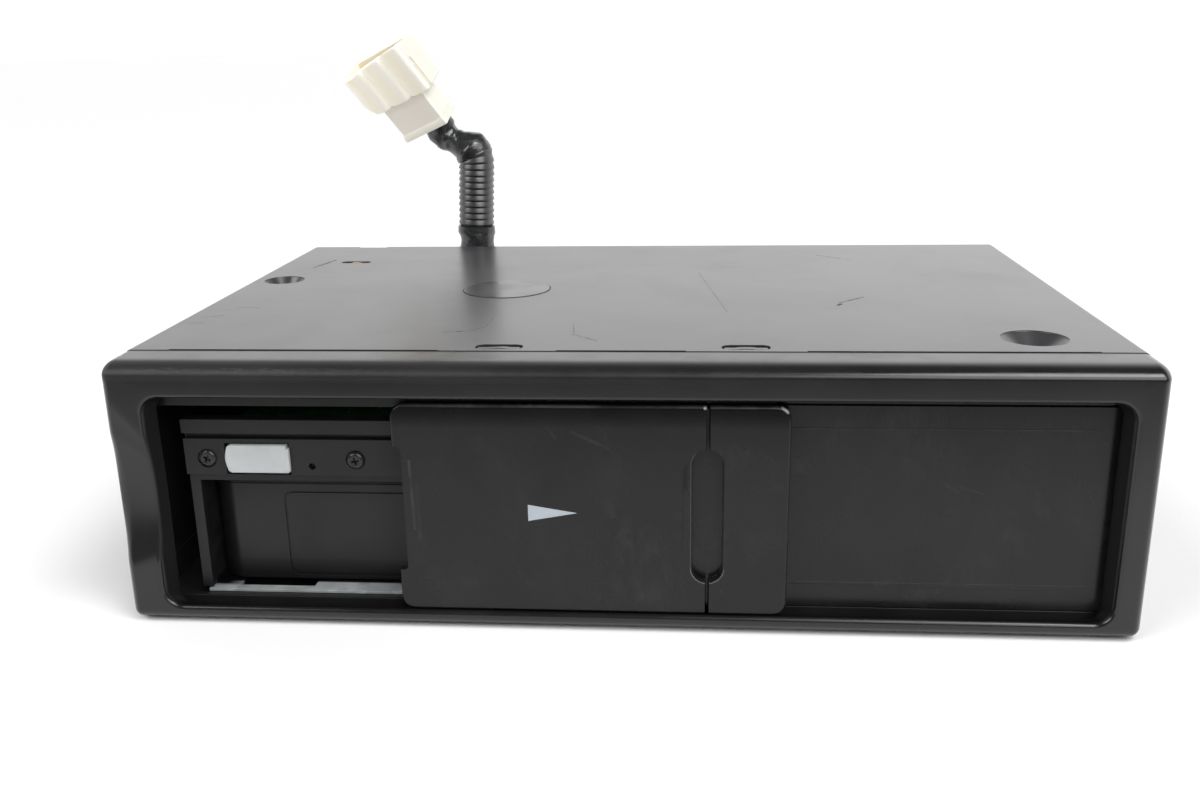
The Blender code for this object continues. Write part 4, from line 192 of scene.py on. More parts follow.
class Finish(Web):
    """A material: a Principled shader and the nodes that feed it. Its name is a slot's name."""

    def __init__(self, name, colour, rough, metal=0.0, **settings):
        self.material = bpy.data.materials.new(name)
        self.material.use_nodes = True
        super().__init__(self.material.node_tree)
        FINISHES[name] = self
        self.shader = self.nodes["Principled BSDF"]
        self.relief = None
        self.axes = {}
        self.paint((*colour, 1), rough)
        self.set("Metallic", metal)
        for socket, value in settings.items():
            self.set(socket.replace("_", " "), value)
        place = self.add("ShaderNodeTexCoord", {}, "Object")
        values = {0: place, "Scale": 1 / MM}
        self.mm = self.add("ShaderNodeVectorMath", values, operation="SCALE")

    def set(self, socket, value):
        """Feeds a socket of the shader."""
        self.feed(self.shader.inputs[socket], value)

    def paint(self, colour, gloss):
        """Feeds the two sockets that every finish has a pattern for."""
        self.set("Base Color", colour)
        self.set("Roughness", gloss)

    def matt(self, share):
        """Blends the shader by a share into a matt dark one, for a place that no light reaches."""
        plain = self.add("ShaderNodeBsdfDiffuse", {"Color": (*grey(0.003), 1)})
        shiny = Wire(self, self.shader.outputs[0])
        blend = self.add("ShaderNodeMixShader", {0: share, 1: shiny, 2: plain})
        self.feed(self.nodes["Material Output"].inputs["Surface"], blend)

    def noise(self, scale, detail=2.0, rough=0.5, stretch=None, warp=0.0):
        """Cloudy numbers about 0.5, with scale cells in a millimetre, fewer where stretched."""
        place = self.mm
        if stretch:
            place = self.add("ShaderNodeMapping", {"Vector": place, "Scale": stretch})
        values = {"Vector": place, "Scale": scale, "Detail": detail, "Roughness": rough}
        values["Distortion"] = warp
        return self.add("ShaderNodeTexNoise", values)

    def cloud(self, pattern, band=(0.3, 0.7), levels=(0.0, 1.0)):
        """Noise of a pattern, spread from a band about its middle to two levels."""
        return self.ramp(self.noise(*pattern), *band, *levels)

    def mix(self, factor, first, second):
        """A colour between two others."""
        first, second = (c if isinstance(c, Wire) else (*c, 1) for c in (first, second))
        return self.add("ShaderNodeMix", {0: factor, 6: first, 7: second}, 2, data_type="RGBA")

    def axis(self, letter):
        """A place in mm: X from the middle, Y from the front of the bezel or Z from the floor."""
        if letter not in self.axes:
            wire = self.add("ShaderNodeSeparateXYZ", {0: self.mm}, letter)
            self.axes[letter] = wire - FRONT / MM if letter == "Y" else wire
        return self.axes[letter]

    def over(self, letter, *limits):
        """A ramp along one of the axes."""
        return self.ramp(self.axis(letter), *limits)

    def way(self, direction, start):
        """How far a point lies from a start along a direction, in mm."""
        values = {0: self.mm, 1: direction}
        dot = self.add("ShaderNodeVectorMath", values, 1, operation="DOT_PRODUCT")
        return dot - direction.dot(start) / MM

    def bump(self, height, strength, depth):
        """Small relief, depth mm high, from a wire or a noise. A second call lies on the first."""
        height = height if isinstance(height, Wire) else self.noise(*height)
        values = {"Height": height, "Strength": strength, "Distance": depth * MM}
        if self.relief:
            values["Normal"] = self.relief
        self.relief = self.add("ShaderNodeBump", values)
        self.set("Normal", self.relief)

    def line(self, across, start, end, width, soft):
        """1 near a straight line on a plane, named by its two axes, in mm; 0 away from it."""
        run = Vector(end) - Vector(start)
        x, y = run.normalized()
        du, dv = (self.axis(letter) - first for letter, first in zip(across, start))
        along = du * x + dv * y
        inside = self.ramp(abs(dv * x - du * y), width, width + soft, 1, 0)
        return inside * (along > 0) * (run.length - along > 0)

    def marks(self, across, rows):
        """The sum of many lines. A row ends with the line's depth."""
        return sum(self.line(across, *row) * depth for *row, depth in rows)

    def spot(self, x, z, radius):
        """1 at a point of the front, in mm, and 0 from a radius on."""
        u, v = self.axis("X") - x, self.axis("Z") - z
        return self.ramp(u * u + v * v, 0, radius * radius, 1, 0)


print("node helpers ready")

# %% [markdown]
# ## Room and light
# A pale floor runs out of sight under a sky that is white low down and dim overhead. The top of
# the case is seen at a low angle, so it mirrors that low band and its black paint reads grey, as
# in the picture. Two broad suns in front, one at each side, light the faces and the floor without
# a hard shadow, and a soft box high up at the right adds a gleam. The sky between them is dim,
# where the photographer stands, so gloss has contrast and the ribs of the loom show two bright
# rows with a dark one between. The floor falls into shade there too.

# %% Floor
FLOOR_HALF, FLOOR_DROP = 30.0, 0.05 * MM
FLOOR_PALE, FLOOR_SHADE = (0.90, 0.895, 0.90), grey(0.20)
FLOOR_SHADE_FADE = (-260, -95)

square = bpy.data.meshes.new("floor")
sides = ((-1, -1), (1, -1), (1, 1), (-1, 1))
corners = [(x * FLOOR_HALF, y * FLOOR_HALF, -FLOOR_DROP) for x, y in sides]
square.from_pydata(corners, [], [(0, 1, 2, 3)])
floor = link("floor", square)
floor_white = Finish("floor_white", FLOOR_PALE, 0.6)
# Painted shade: the floor's colour dims from pale to grey towards the front, where it falls into
# shade.
near = floor_white.over("Y", *FLOOR_SHADE_FADE)
floor_white.set("Base Color", floor_white.mix(near, FLOOR_SHADE, FLOOR_PALE))
floor.data.materials.append(floor_white.material)
print("floor", 2 * FLOOR_HALF, "m wide")

# %% Sky
SKY = {"Z": (0.42, 0.75, 1.3, 0.12), "Y": (-0.25, 0.35, 0.14, 1.0), "X": (-0.5, 0.4, 0.90, 1.12)}

bpy.context.scene.view_settings.view_transform = "Standard"
world = bpy.data.worlds.new("sky")
world.use_nodes = True
bpy.context.scene.world = world
sky = Web(world.node_tree)
look = sky.add("ShaderNodeTexCoord", {}, "Generated")
up, back, right = (
    sky.ramp(sky.add("ShaderNodeSeparateXYZ", {0: look}, letter), *limits)
    for letter, limits in SKY.items()
)
background = sky.nodes["Background"].inputs
background["Color"].default_value = (*grey(1.0), 1)
sky.feed(background["Strength"], up * back * right)
print("sky with", len(SKY), "falls of brightness")


# %% Lamps
def soft_sun(name, azimuth, elevation, energy, spread):
    """A wide sun. The azimuth is measured from straight in front, to the right."""
    lamp = bpy.data.lights.new(name, "SUN")
    lamp.energy, lamp.angle = energy, math.radians(spread)
    way = heading(math.radians(-azimuth), math.radians(elevation))
    link(name, lamp).rotation_euler = way.to_track_quat("-Z", "Y").to_euler()


def soft_box(name, place, goal, energy, size):
    """A square light at a place in metres, turned to a goal."""
    lamp = bpy.data.lights.new(name, "AREA")
    lamp.energy, lamp.size = energy, size
    box = link(name, lamp)
    box.location = place
    box.rotation_euler = (Vector(place) - Vector(goal)).to_track_quat("Z", "Y").to_euler()


soft_box("top_box", (0.46, -0.33, 1.07), (0, 0, 0.04), 4.6, 0.45)
soft_sun("right_sun", 40, 42, 2.1, 50)
soft_sun("left_sun", -62, 42, 1.7, 40)

# %% [markdown]
# ## Where the wiring runs
# The route of the wires is the list of points that the solid model uses, and the connector has
# three axes of its own. Both come before the finishes, since the ivory changes along those axes.

# %% The route
ROUTE_MARKS = [
    at(*mark)
    for mark in (
        (-70, 171.8, 36), (-70, 178, 36), (-70, 185.4, 38.8), (-69.9, 191.8, 45),
        (-69.8, 195.2, 53.5), (-69.5, 196, 63), (-69, 196, 76), (-68.4, 196, 90),
        (-67.9, 196, 101), (-68.8, 196, 104.9), (-72.0, 196, 107.9), (-76.6, 196, 110.2),
        (-80.6, 195.5, 112.9), (-82.0, 193.9, 116.8),
    )
]


def smooth_route(marks, steps):
    """Points of a Catmull-Rom curve through the marks."""
    padded = [marks[0] * 2 - marks[1], *marks, marks[-1] * 2 - marks[-2]]
    points = []
    for a, b, c, d in zip(padded, padded[1:], padded[2:], padded[3:]):
        for step in range(steps):
            t = step / steps
            bend = (a * 2 - b * 5 + c * 4 - d) * (0.5 * t * t)
            twist = (b * 3 - a - c * 3 + d) * (0.5 * t * t * t)
            points.append(b + (c - a) * (0.5 * t) + bend + twist)
    return [*points, marks[-1]]


def even_steps(points, count):
    """The same line with points at even steps."""
    run = [0.0]
    for a, b in zip(points, points[1:]):
        run.append(run[-1] + (b - a).length)
    spread, index = [], 0
    for step in range(count + 1):
        goal = run[-1] * step / count
        while index < len(run) - 2 and run[index + 1] < goal:
            index += 1
        share = (goal - run[index]) / (run[index + 1] - run[index])
        spread.append(points[index].lerp(points[index + 1], share))
    return spread, run[-1]


ROUTE = smooth_route(ROUTE_MARKS, 3)
FINE_ROUTE, ROUTE_LENGTH = even_steps(smooth_route(ROUTE_MARKS, 12), 240)
print("route", round(ROUTE_LENGTH / MM, 1), "mm long")

# %% The connector's own axes
ALONG = Vector((-0.50, -0.38, 0.78)).normalized()
ACROSS = Vector((0.86, -0.36, 0.36))
ACROSS = (ACROSS - ALONG * ACROSS.dot(ALONG)).normalized()
THROUGH = ALONG.cross(ACROSS)
CONNECTOR_BASE = at(-85.2, 195.3, 115.8)
SHELL_WIDTH, LOBES = 31.0, 3


def on_connector(across, through, along):
    """A point given in mm on the connector's own axes."""
    return CONNECTOR_BASE + (ACROSS * across + THROUGH * through + ALONG * along) * MM


print("connector leans", round(math.degrees(ALONG.angle(Vector((0, 0, 1))))), "degrees")

# %% [markdown]
# ## Black mouldings
# The bezel is a satin moulding with a very fine grain. Handling leaves smooth patches, so the
# roughness wanders over the surface, and a few pale specks of dust sit in the grain. Its top edge
# is rubbed at the left. Walls deep inside the opening, and the magazine's front in the bay, get
# painted shade: a darker colour, more roughness and a blend into a matt dark shader. In each cloud
# the first numbers are the noise, the next pair is its band and the last pair is what it gives.

# %% Satin black mouldings
WALL_LEFT, WALL_RIGHT, WALL_DEEP = (-120.9, -120.2), (123.3, 122.6), (0.8, 1.6)
WALL_LOW, WALL_HIGH = (4.0, 4.6), (62.5, 61.9)
BAY_LOW, BAY_HIGH, BAY_LINE, BAY_DEPTH = (8.2, 12.5), (34.3, 34.6), 34.2, 20


def specks(finish, every, size, share):
    """1 on small round specks: one cell in some of a Voronoi pattern, cells and specks in mm."""
    values = {"Vector": finish.mm, "Scale": 1 / every}
    near, shade = (finish.add("ShaderNodeTexVoronoi", values, o) for o in ("Distance", "Color"))
    lot = finish.add("ShaderNodeSeparateColor", {0: shade})
    return finish.ramp(near, size / every * 0.5, size / every, 1, 0) * (lot > 1 - share)


def dusty(finish, base, dust, every=7.0, size=0.16, share=0.25):
    """The base colour with slow changes of tone and small pale specks of two sizes."""
    deep, light = ([c * k for c in base] for k in (0.82, 1.22))
    fine = specks(finish, every * 0.37, size * 0.55, share) * 0.5
    dots = specks(finish, every, size, share) + fine
    return finish.mix(dots, finish.mix(finish.cloud((0.05, 4)), deep, light), dust)


def moulded(name, base, low, high, grain, depth, shine=0.5, wear=None, shade=None, hidden=0.4):
    """A satin moulding: grain in the relief and handled patches in the gloss."""
    finish = Finish(name, base, low, Specular_IOR_Level=shine)
    colour = dusty(finish, base, (0.20, 0.19, 0.17))
    gloss = finish.cloud((0.028, 4, 0.6), (0.35, 0.65), (low, high))
    gloss = gloss + finish.cloud((0.11, 3, 0.6, (1, 1, 0.3)), (0.4, 0.7), (0.0, 0.05))
    if wear:
        rub, roll = wear(finish)
        colour = finish.mix(rub, colour, (0.055, 0.046, 0.040))
        gloss = gloss + rub * 0.35 + roll
    # Painted shade: where the mask is 1 the colour goes nearly black, the gloss rougher and the
    # shader blends into a matt dark one.
    if shade:
        dark = shade(finish)
        colour = finish.mix(dark, colour, grey(0.001))
        gloss = gloss + dark * 0.35
        finish.matt(dark * hidden)
    finish.paint(colour, gloss)
    finish.bump((grain, 3, 0.6), 0.4, depth)
    finish.bump((0.05, 2), 0.5, 0.05)
    return finish


def top_wear(finish):
    """The rubbed top edge of the bezel, and how much duller its roll gets towards the left."""
    streaks = finish.cloud((1.3, 4, 0.7, (0.40, 1, 1)), (0.48, 0.66))
    reach = finish.over("X", -128, -120) * finish.over("X", -55, -95)
    place = finish.over("Z", 68.2, 69.6) * finish.over("Y", 2.2, 0.8)
    roll = finish.over("Z", 66.2, 67.6) * finish.over("Y", 6.0, 4.0)
    return streaks * place * (reach * 0.9 + 0.10), roll * finish.over("X", 50, -50, -0.03, 0.28)


def rim_shade(finish):
    """The walls inside the bezel's opening lie in shade."""
    across = finish.over("X", *WALL_LEFT) * finish.over("X", *WALL_RIGHT)
    up = finish.over("Z", *WALL_LOW) * finish.over("Z", *WALL_HIGH)
    return across * up * finish.over("Y", *WALL_DEEP)


def bay_shade(finish):
    """Painted shade on the magazine's front: darker above a line near its top and towards its lower
    edge.
    """
    low, high = finish.over("Z", *BAY_LOW, 0.9, 0), finish.over("Z", *BAY_HIGH, 0, 0.5)
    line = finish.line("XZ", (-108.5, BAY_LINE), (20, BAY_LINE), 0.10, 0.15)
    return (low + high + line) * (finish.axis("Y") < BAY_DEPTH)


moulded(
    "black_moulding", (0.0085, 0.0085, 0.0095), 0.15, 0.24, 2.2, 0.008,
    wear=top_wear, shade=rim_shade, hidden=0.75,
)
moulded(
    "magazine_plastic", (0.011, 0.011, 0.012), 0.30, 0.42, 1.8, 0.014, 0.36, shade=bay_shade
)
for row in (
    ("black_frame", (0.010, 0.010, 0.011), 0.30, 0.42, 2.8, 0.014, 0.35),
    ("tray_plastic", (0.10, 0.10, 0.11), 0.44, 0.56, 1.8, 0.012),
    ("pickup_plastic", (0.020, 0.020, 0.021), 0.40, 0.50, 2.0, 0.010),
    ("chip_black", (0.020, 0.020, 0.021), 0.50, 0.60, 4.0, 0.010),
    ("rubber", grey(0.030), 0.62, 0.74, 1.6, 0.02),
    ("loom_black", (0.022, 0.021, 0.021), 0.26, 0.34, 1.4, 0.006, 1.0),
):
    moulded(*row)
print("moulded", list(FINISHES))


# %% Door leaves and panel
RUBS_AND_RIDGE_HIGHLIGHTS = [
    ((-52.9, 46.0), (-52.5, 27.0), 0.12, 0.4, 1.0),
    ((-51.4, 41.0), (-51.2, 24.0), 0.05, 0.8, 0.3),
    ((-18.0, 55.6), (-15.5, 52.0), 0.05, 0.5, 0.4),
    ((-12.0, 54.0), (-2.0, 49.4), 0.05, 0.6, 0.4),
    ((-3.3, 36.0), (-1.6, 31.0), 0.10, 1.6, 0.35),
    # Painted highlights: these two long lines on the fixed panel stand in for light on the edges of
    # its guide ridges.
    ((45.0, 53.8), (117.4, 53.8), 0.03, 0.12, 0.9),
    ((45.0, 12.4), (117.4, 12.4), 0.03, 0.12, 0.9),
    ((80.0, 39.9), (84.5, 37.2), 0.05, 0.2, 0.9),
    ((84.5, 38.9), (90.5, 37.0), 0.05, 0.2, 0.6),
]
GRIP_SCUFFS = [
    ((16.7, 45.5), (16.5, 39.0), 0.25, 0.5, 1.0),
    ((16.1, 44.5), (15.9, 22.5), 0.04, 0.3, 0.7),
]
# Painted glints on the rounded top corners of the leaves: a point and a radius, in mm.
LIP_GLINTS = [(41.5, 59.5, 0.8), (40.9, 60.0, 0.8), (40.2, 60.3, 0.6), (21.3, 60.1, 0.5)]
GRIP_X, GRIP_Z, GRIP_STRAIGHT = 22.15, 31.6, 13.95
GRIP_SHADE, GRIP_HIGHLIGHT_IN, GRIP_HIGHLIGHT_OUT = (14.2, 15.0), (16.9, 17.4), (18.9, 18.2)
LEAF_FACE, PANEL_FACE, SPLIT_WALL = 1.75, 2.85, 3.88


def grip_ring(finish):
    """The square of a point's distance, in mm, from the middle line of the finger grip."""
    u = finish.axis("X") - GRIP_X
    v = abs(finish.axis("Z") - GRIP_Z) - GRIP_STRAIGHT
    v = v * (v > 0)
    return u * u + v * v


def door_plastic():
    """The leaves' smoother plastic: hairline scratches, rubs, wiped smears, painted highlights and
    shade.
    """
    base = (0.0095, 0.0085, 0.0095)
    finish = Finish("black_door", base, 0.25, Specular_IOR_Level=0.34)
    colour = dusty(finish, base, (0.16, 0.155, 0.15), 9.0, 0.13, 0.3)
    # Rub marks and the painted ridge highlights, broken up by noise.
    rubs = finish.marks("XZ", RUBS_AND_RIDGE_HIGHLIGHTS) * finish.cloud((0.16, 3), (0.30, 0.62))
    haze = finish.cloud((0.045, 4, 0.6, None, 0.8), (0.52, 0.70))
    haze = haze * finish.cloud((0.35, 3, 0.7, (1, 1, 0.4)), (0.40, 0.75))
    deep, ring = finish.axis("Y"), grip_ring(finish)
    leaf, face = deep < LEAF_FACE, deep < PANEL_FACE
    # Painted shade on the walls of the grip and the split, which also get rougher.
    grip_wall_shade = (deep > PANEL_FACE) * (deep < SPLIT_WALL)
    # Painted highlight along the top edges of the leaves, patchy along its length.
    top_edge_highlight = finish.over("Z", 59.85, 60.15) * face
    top_edge_highlight = top_edge_highlight * finish.cloud((0.10, 3, 0.6, (1, 1, 0.2)), (0.35, 0.60), (0.35, 1))
    # Painted shade inside the finger grip, with dark scuff marks beside it, and a painted shade
    # band on the leaves below the bezel's lip.
    dark = (ring < GRIP_HIGHLIGHT_IN[0]) * finish.ramp(ring, *GRIP_SHADE) + finish.marks("XZ", GRIP_SCUFFS)
    dark = finish.over("Z", 54.6, 58.8, 0, 0.9) * face + dark * leaf
    # Painted highlight on the rim of the finger grip, strongest at its lower end.
    rim = finish.ramp(ring, *GRIP_HIGHLIGHT_IN) * finish.ramp(ring, *GRIP_HIGHLIGHT_OUT) * leaf
    rim = rim * (finish.over("Z", 18.2, 16.2) + finish.over("X", 19.4, 18.8) * 0.35)
    glint = sum(finish.spot(*row) for row in LIP_GLINTS) * face
    for share, shade in (
        (rubs * 0.55, (0.055, 0.055, 0.058)),
        (haze * 0.35, (0.05, 0.048, 0.048)),
        (dark, grey(0.0015)),
        (rim, grey(0.13)),
        (top_edge_highlight, (0.060, 0.060, 0.063)),
        (glint, grey(0.42)),
        (grip_wall_shade, grey(0.001)),
    ):
        colour = finish.mix(share, colour, shade)
    smear = finish.cloud((0.05, 4, 0.6, (1, 1, 0.35)), (0.35, 0.7), (0.20, 0.34))
    finish.paint(colour, smear + grip_wall_shade * 0.5)
    finish.bump((1.6, 2), 0.35, 0.004)


door_plastic()

# %% Painted cover
SCRATCHES = [
    ((-50.3, 35.9), (-46.0, 36.3), 0.05, 0.15, 1.0),
    ((-46.4, 35.6), (-42.6, 36.6), 0.16, 0.25, 1.0),
    ((-42.6, 36.6), (-39.1, 41.1), 0.05, 0.15, 1.0),
    ((-50.0, 33.6), (-44.5, 35.4), 0.03, 0.12, 0.7),
    ((-39.0, 41.6), (-38.6, 52.0), 0.03, 0.15, 0.35),
    ((-14.9, 44.6), (-13.7, 34.2), 0.03, 0.12, 0.8),
    ((-14.2, 33.0), (-6.8, 25.6), 0.15, 0.50, 0.3),
    ((61.0, 72.0), (69.5, 80.5), 0.12, 0.30, 0.9),
    ((60.2, 68.6), (61.8, 71.0), 0.30, 0.30, 1.0),
    ((62.0, 153.2), (73.2, 142.9), 0.10, 0.40, 0.4),
    ((-116.2, 131.0), (-114.0, 139.0), 0.10, 0.45, 0.9),
    ((-114.6, 137.0), (-112.6, 146.0), 0.05, 0.60, 0.8),
    ((-122.0, 62.0), (-116.5, 66.0), 0.05, 0.20, 0.8),
    ((-116.5, 66.0), (-112.0, 65.0), 0.05, 0.20, 0.6),
    ((-123.5, 52.0), (-119.0, 55.5), 0.05, 0.25, 0.6),
    ((-126.0, 45.0), (-121.0, 46.0), 0.05, 0.20, 0.5),
    ((20.0, 120.0), (28.0, 60.0), 0.06, 0.20, 0.25),
]


def cover_paint():
    """Satin paint on sheet steel: a faint orange peel, dust, rubbed patches and scratches."""
    base = (0.030, 0.030, 0.033)
    finish = Finish("black_paint", base, 0.30, Specular_IOR_Level=0.92)
    colour = dusty(finish, base, (0.13, 0.125, 0.12), 9.0, 0.18, 0.3)
    cut = finish.marks("XY", SCRATCHES) * finish.cloud((0.7, 3), (0.36, 0.55))
    smudge = finish.cloud((0.018, 5, 0.65, None, 0.6), (0.42, 0.72))
    streak = finish.cloud((0.25, 3, 0.6, (0.5, 1, 1)), (0.45, 0.7))
    gloss = smudge * 0.025 + smudge * streak * 0.020 + cut * 0.6 + 0.275
    finish.paint(finish.mix(cut, colour, grey(0.006)), gloss)
    finish.bump((0.9, 2), 0.25, 0.0035)


cover_paint()
print("black finishes ready")

# %% [markdown]
# ## Metals, board and small parts
# Sheet zinc shows faint crystals, turned steel shows rings or a drawn grain, and the discs are
# mirrors under clear plastic. The circuit board gets its tracks from a brick pattern.

# %% Metals
ZINC_WALL_SHADE_FROM, ZINC_CORNER_X = 7.3, (-108, -101)
ZINC_CORNER_Y, ZINC_SHADE_Y = (10.6, 12.0), (13.3, 14.0)


def plated(name, base, low, high, grain, stretch, metal=1.0):
    """Bright or plain metal with a drawn grain along the direction of least stretch."""
    finish = Finish(name, base, low, metal)
    drawn = finish.noise(grain, 3, 0.6, stretch)
    deep = [c * 0.78 for c in base]
    colour = finish.mix(finish.cloud((0.06, 3)), deep, base)
    finish.paint(colour, finish.ramp(drawn, 0.3, 0.7, low, high))
    finish.bump(drawn, 0.3, 0.008)


def zinc():
    """Zinc-plated sheet with pale crystals. The cage's walls above its floor are painted shade,
    with rust specks.
    """
    finish = Finish("zinc_sheet", (0.62, 0.64, 0.64), 0.5, 0.55)
    values = {"Vector": finish.mm, "Scale": 0.35}
    crystal = finish.add("ShaderNodeTexVoronoi", values, "Color")
    bright = finish.mix(finish.ramp(crystal, 0.2, 0.8), (0.44, 0.475, 0.48), (0.54, 0.57, 0.57))
    walls = finish.mix(specks(finish, 1.6, 0.22, 0.35), grey(0.006), (0.10, 0.085, 0.06))
    # Painted shade on the floor, at its back and in its left corner.
    shade = finish.over("X", *ZINC_CORNER_X, 1, 0) * finish.over("Y", *ZINC_CORNER_Y)
    bright = finish.mix(finish.over("Y", *ZINC_SHADE_Y) + shade, bright, grey(0.003))
    # The walls above the floor get the painted shade colour and lose their metal.
    painted = finish.axis("Z") > ZINC_WALL_SHADE_FROM
    finish.paint(finish.mix(painted, bright, walls), finish.ramp(crystal, 0.2, 0.8, 0.40, 0.56))
    finish.set("Metallic", (1 - painted) * 0.55)
    finish.bump((1.5, 2), 0.2, 0.01)


plated("steel", (0.50, 0.50, 0.52), 0.24, 0.40, 1.2, (0.15, 1, 1))
plated("brass", (0.72, 0.44, 0.17), 0.28, 0.42, 2.0, (1, 1, 1))
plated("black_screw", (0.020, 0.020, 0.021), 0.20, 0.32, 2.5, (1, 1, 1), 0.2)
zinc()


# %% Board, discs and light plastics
def board_green():
    """Solder mask over copper tracks, from a brick pattern a millimetre or so wide."""
    finish = Finish("board_green", (0.02, 0.13, 0.05), 0.35)
    values = {"Vector": finish.mm, "Scale": 0.16, "Mortar Size": 0.03, "Mortar Smooth": 0.2}
    tracks = finish.add("ShaderNodeTexBrick", values, "Fac")
    dots = finish.add("ShaderNodeTexVoronoi", {"Vector": finish.mm, "Scale": 0.32}, "Distance")
    pad = finish.ramp(dots, 0.10, 0.14, 1, 0)
    green = finish.mix(tracks, (0.012, 0.085, 0.035), (0.03, 0.17, 0.07))
    finish.set("Base Color", finish.mix(pad, green, (0.45, 0.43, 0.40)))
    finish.set("Metallic", pad * 0.8)
    finish.bump(tracks, 0.3, 0.03)


def disc_mirror():
    """A pressed disc: fine rings round its middle, mirror-bright."""
    coat = {"Coat_Weight": 0.6, "Coat_Roughness": 0.05}
    finish = Finish("disc_surface", (0.78, 0.79, 0.80), 0.10, 0.95, **coat)
    rings = finish.noise(6.0, 1, 0.5, (1, 1, 0.2))
    colour = finish.mix(finish.cloud((0.03, 2)), (0.70, 0.74, 0.80), (0.84, 0.82, 0.78))
    finish.paint(colour, finish.ramp(rings, 0.3, 0.7, 0.08, 0.16))
    finish.bump(rings, 0.1, 0.002)


def pale_plastic(name, base, shade, low, high, glow=0.0):
    """Ivory or white moulding with slightly yellowed hollows."""
    depths = (0.004, 0.003, 0.002)
    finish = Finish(name, base, low, Subsurface_Weight=glow, Subsurface_Radius=depths)
    colour = finish.mix(finish.cloud((0.09, 4, 0.6), (0.35, 0.7)), base, shade)
    finish.paint(colour, finish.cloud((0.2, 3), levels=(low, high)))
    finish.bump((1.2, 2), 0.2, 0.01)
    return finish


def connector_ivory():
    """Ivory plastic. Painted shade: each lobe ochre on its left, pale on its ridge. It glows a
    little.
    """
    pale, ochre, shade = (0.90, 0.87, 0.78), (0.80, 0.72, 0.50), (0.66, 0.62, 0.55)
    finish = Finish("connector_ivory", pale, 0.42, Subsurface_Weight=0.05)
    across, through, along = (finish.way(w, CONNECTOR_BASE) for w in (ACROSS, THROUGH, ALONG))
    lobe = across * (LOBES / SHELL_WIDTH) + LOBES / 2
    lobe = lobe.sum("FRACT", lobe)
    # Painted shade: the left slope of each lobe turns ochre, away from the light.
    lobe_shade = finish.ramp(lobe, 0.05, 0.35, 0.2, 1.0) * finish.ramp(lobe, 0.45, 0.85, 1.0, 0.0)
    shell = finish.mix(lobe_shade * finish.cloud((0.12, 3), levels=(0.55, 1.0)) * 0.55, pale, ochre)
    # Painted shadow on the holder below the shell, with some random tone.
    under = finish.ramp(along, 12.0, 15.4) * 0.7 + finish.cloud((0.2, 3), (0.4, 0.7)) * 0.15
    holder = finish.mix(under, (0.80, 0.76, 0.68), shade)
    on_shell = finish.ramp(along, 15.6, 15.8)
    colour = finish.mix(on_shell, holder, shell)
    inside = finish.ramp(through, -5.2, -4.2) * (13.2 - abs(across) > 0) * on_shell
    front = finish.ramp(through, -5.2, -3.8, 1, 0) * (15.2 - abs(across) > 0)
    outside = finish.mix(front, (0.79, 0.76, 0.68), colour)
    # Painted light: all but the front side glow a little, and the inside of the mouth glows more.
    glow = finish.mix(front, grey(0.0), colour)
    finish.set("Emission Color", finish.mix(inside, glow, (0.36, 0.33, 0.26)))
    finish.set("Emission Strength", 0.30)
    gloss = finish.cloud((0.3, 3), levels=(0.38, 0.50))
    finish.paint(finish.mix(inside, outside, (0.80, 0.74, 0.61)), gloss)
    finish.bump((2.0, 3), 0.3, 0.01)


board_green()
disc_mirror()
connector_ivory()
pale_plastic("white_acetal", (0.76, 0.76, 0.72), (0.70, 0.70, 0.65), 0.36, 0.46)
pale_plastic("white_button", (0.50, 0.525, 0.53), (0.42, 0.44, 0.44), 0.30, 0.42, 0.12)


# %% Label film and tape
def label_film():
    """A thin film, smoother than the paint round it, with a faint crosswise texture."""
    finish = Finish("black_label", (0.028, 0.028, 0.031), 0.22, Specular_IOR_Level=0.60)
    colour = finish.mix(finish.cloud((0.08, 3)), (0.022, 0.022, 0.025), (0.032, 0.032, 0.035))
    finish.paint(colour, finish.cloud((0.07, 3), (0.35, 0.65), (0.20, 0.27)))
    finish.bump((0.5, 2, 0.5, (1, 0.2, 1)), 0.15, 0.01)


def harness_tape():
    """Vinyl harness tape: soft wrinkles across the bundle and a dull shine."""
    finish = Finish("cloth_tape", (0.020, 0.020, 0.021), 0.34, Specular_IOR_Level=0.75)
    colour = finish.mix(finish.cloud((0.25, 3)), (0.012, 0.013, 0.013), (0.030, 0.031, 0.033))
    finish.paint(colour, finish.cloud((0.6, 3), levels=(0.17, 0.30)))
    finish.bump((0.45, 3, 0.6, (1, 1, 1.8)), 0.6, 0.25)
    finish.bump((3.0, 2), 0.3, 0.02)


label_film()
harness_tape()
print(len(FINISHES), "finishes")

# %% [markdown]
# ## One finish for every solid
# Each solid of the frame names a slot of the record. The glTF file keeps that name on the
# material, and every finish has the name of its slot, so one loop dresses them all.

# %% Dress the frame
slot_of = {}
for name, node in frame["nodes"].items():
    slot_of[name] = node.data.materials[0].name.split(".")[0]
    node.data.materials[0] = FINISHES[slot_of[name]].material
print("dressed", len(slot_of), "solids")

# %% [markdown]
# ## Softer edges
# A moulded or bent edge is never sharp. Each visible solid is copied, its loose triangles are
# merged and flattened into whole faces, a narrow bevel goes round the sharp edges, and normals
# are weighted by area so that flat faces stay flat. The copy then stands for the solid. A few
# copies are cut into slices first and follow a rule of their own, which moves each corner.

# %% Refined copies
WELD, FLAT_ANGLE, SHARP_ANGLE = 0.002 * MM, 0.6, 32


def made(name, shape):
    """An object from a shape in the making."""
    mesh = bpy.data.meshes.new(name)
    shape.to_mesh(mesh)
    shape.free()
    return link(name, mesh)


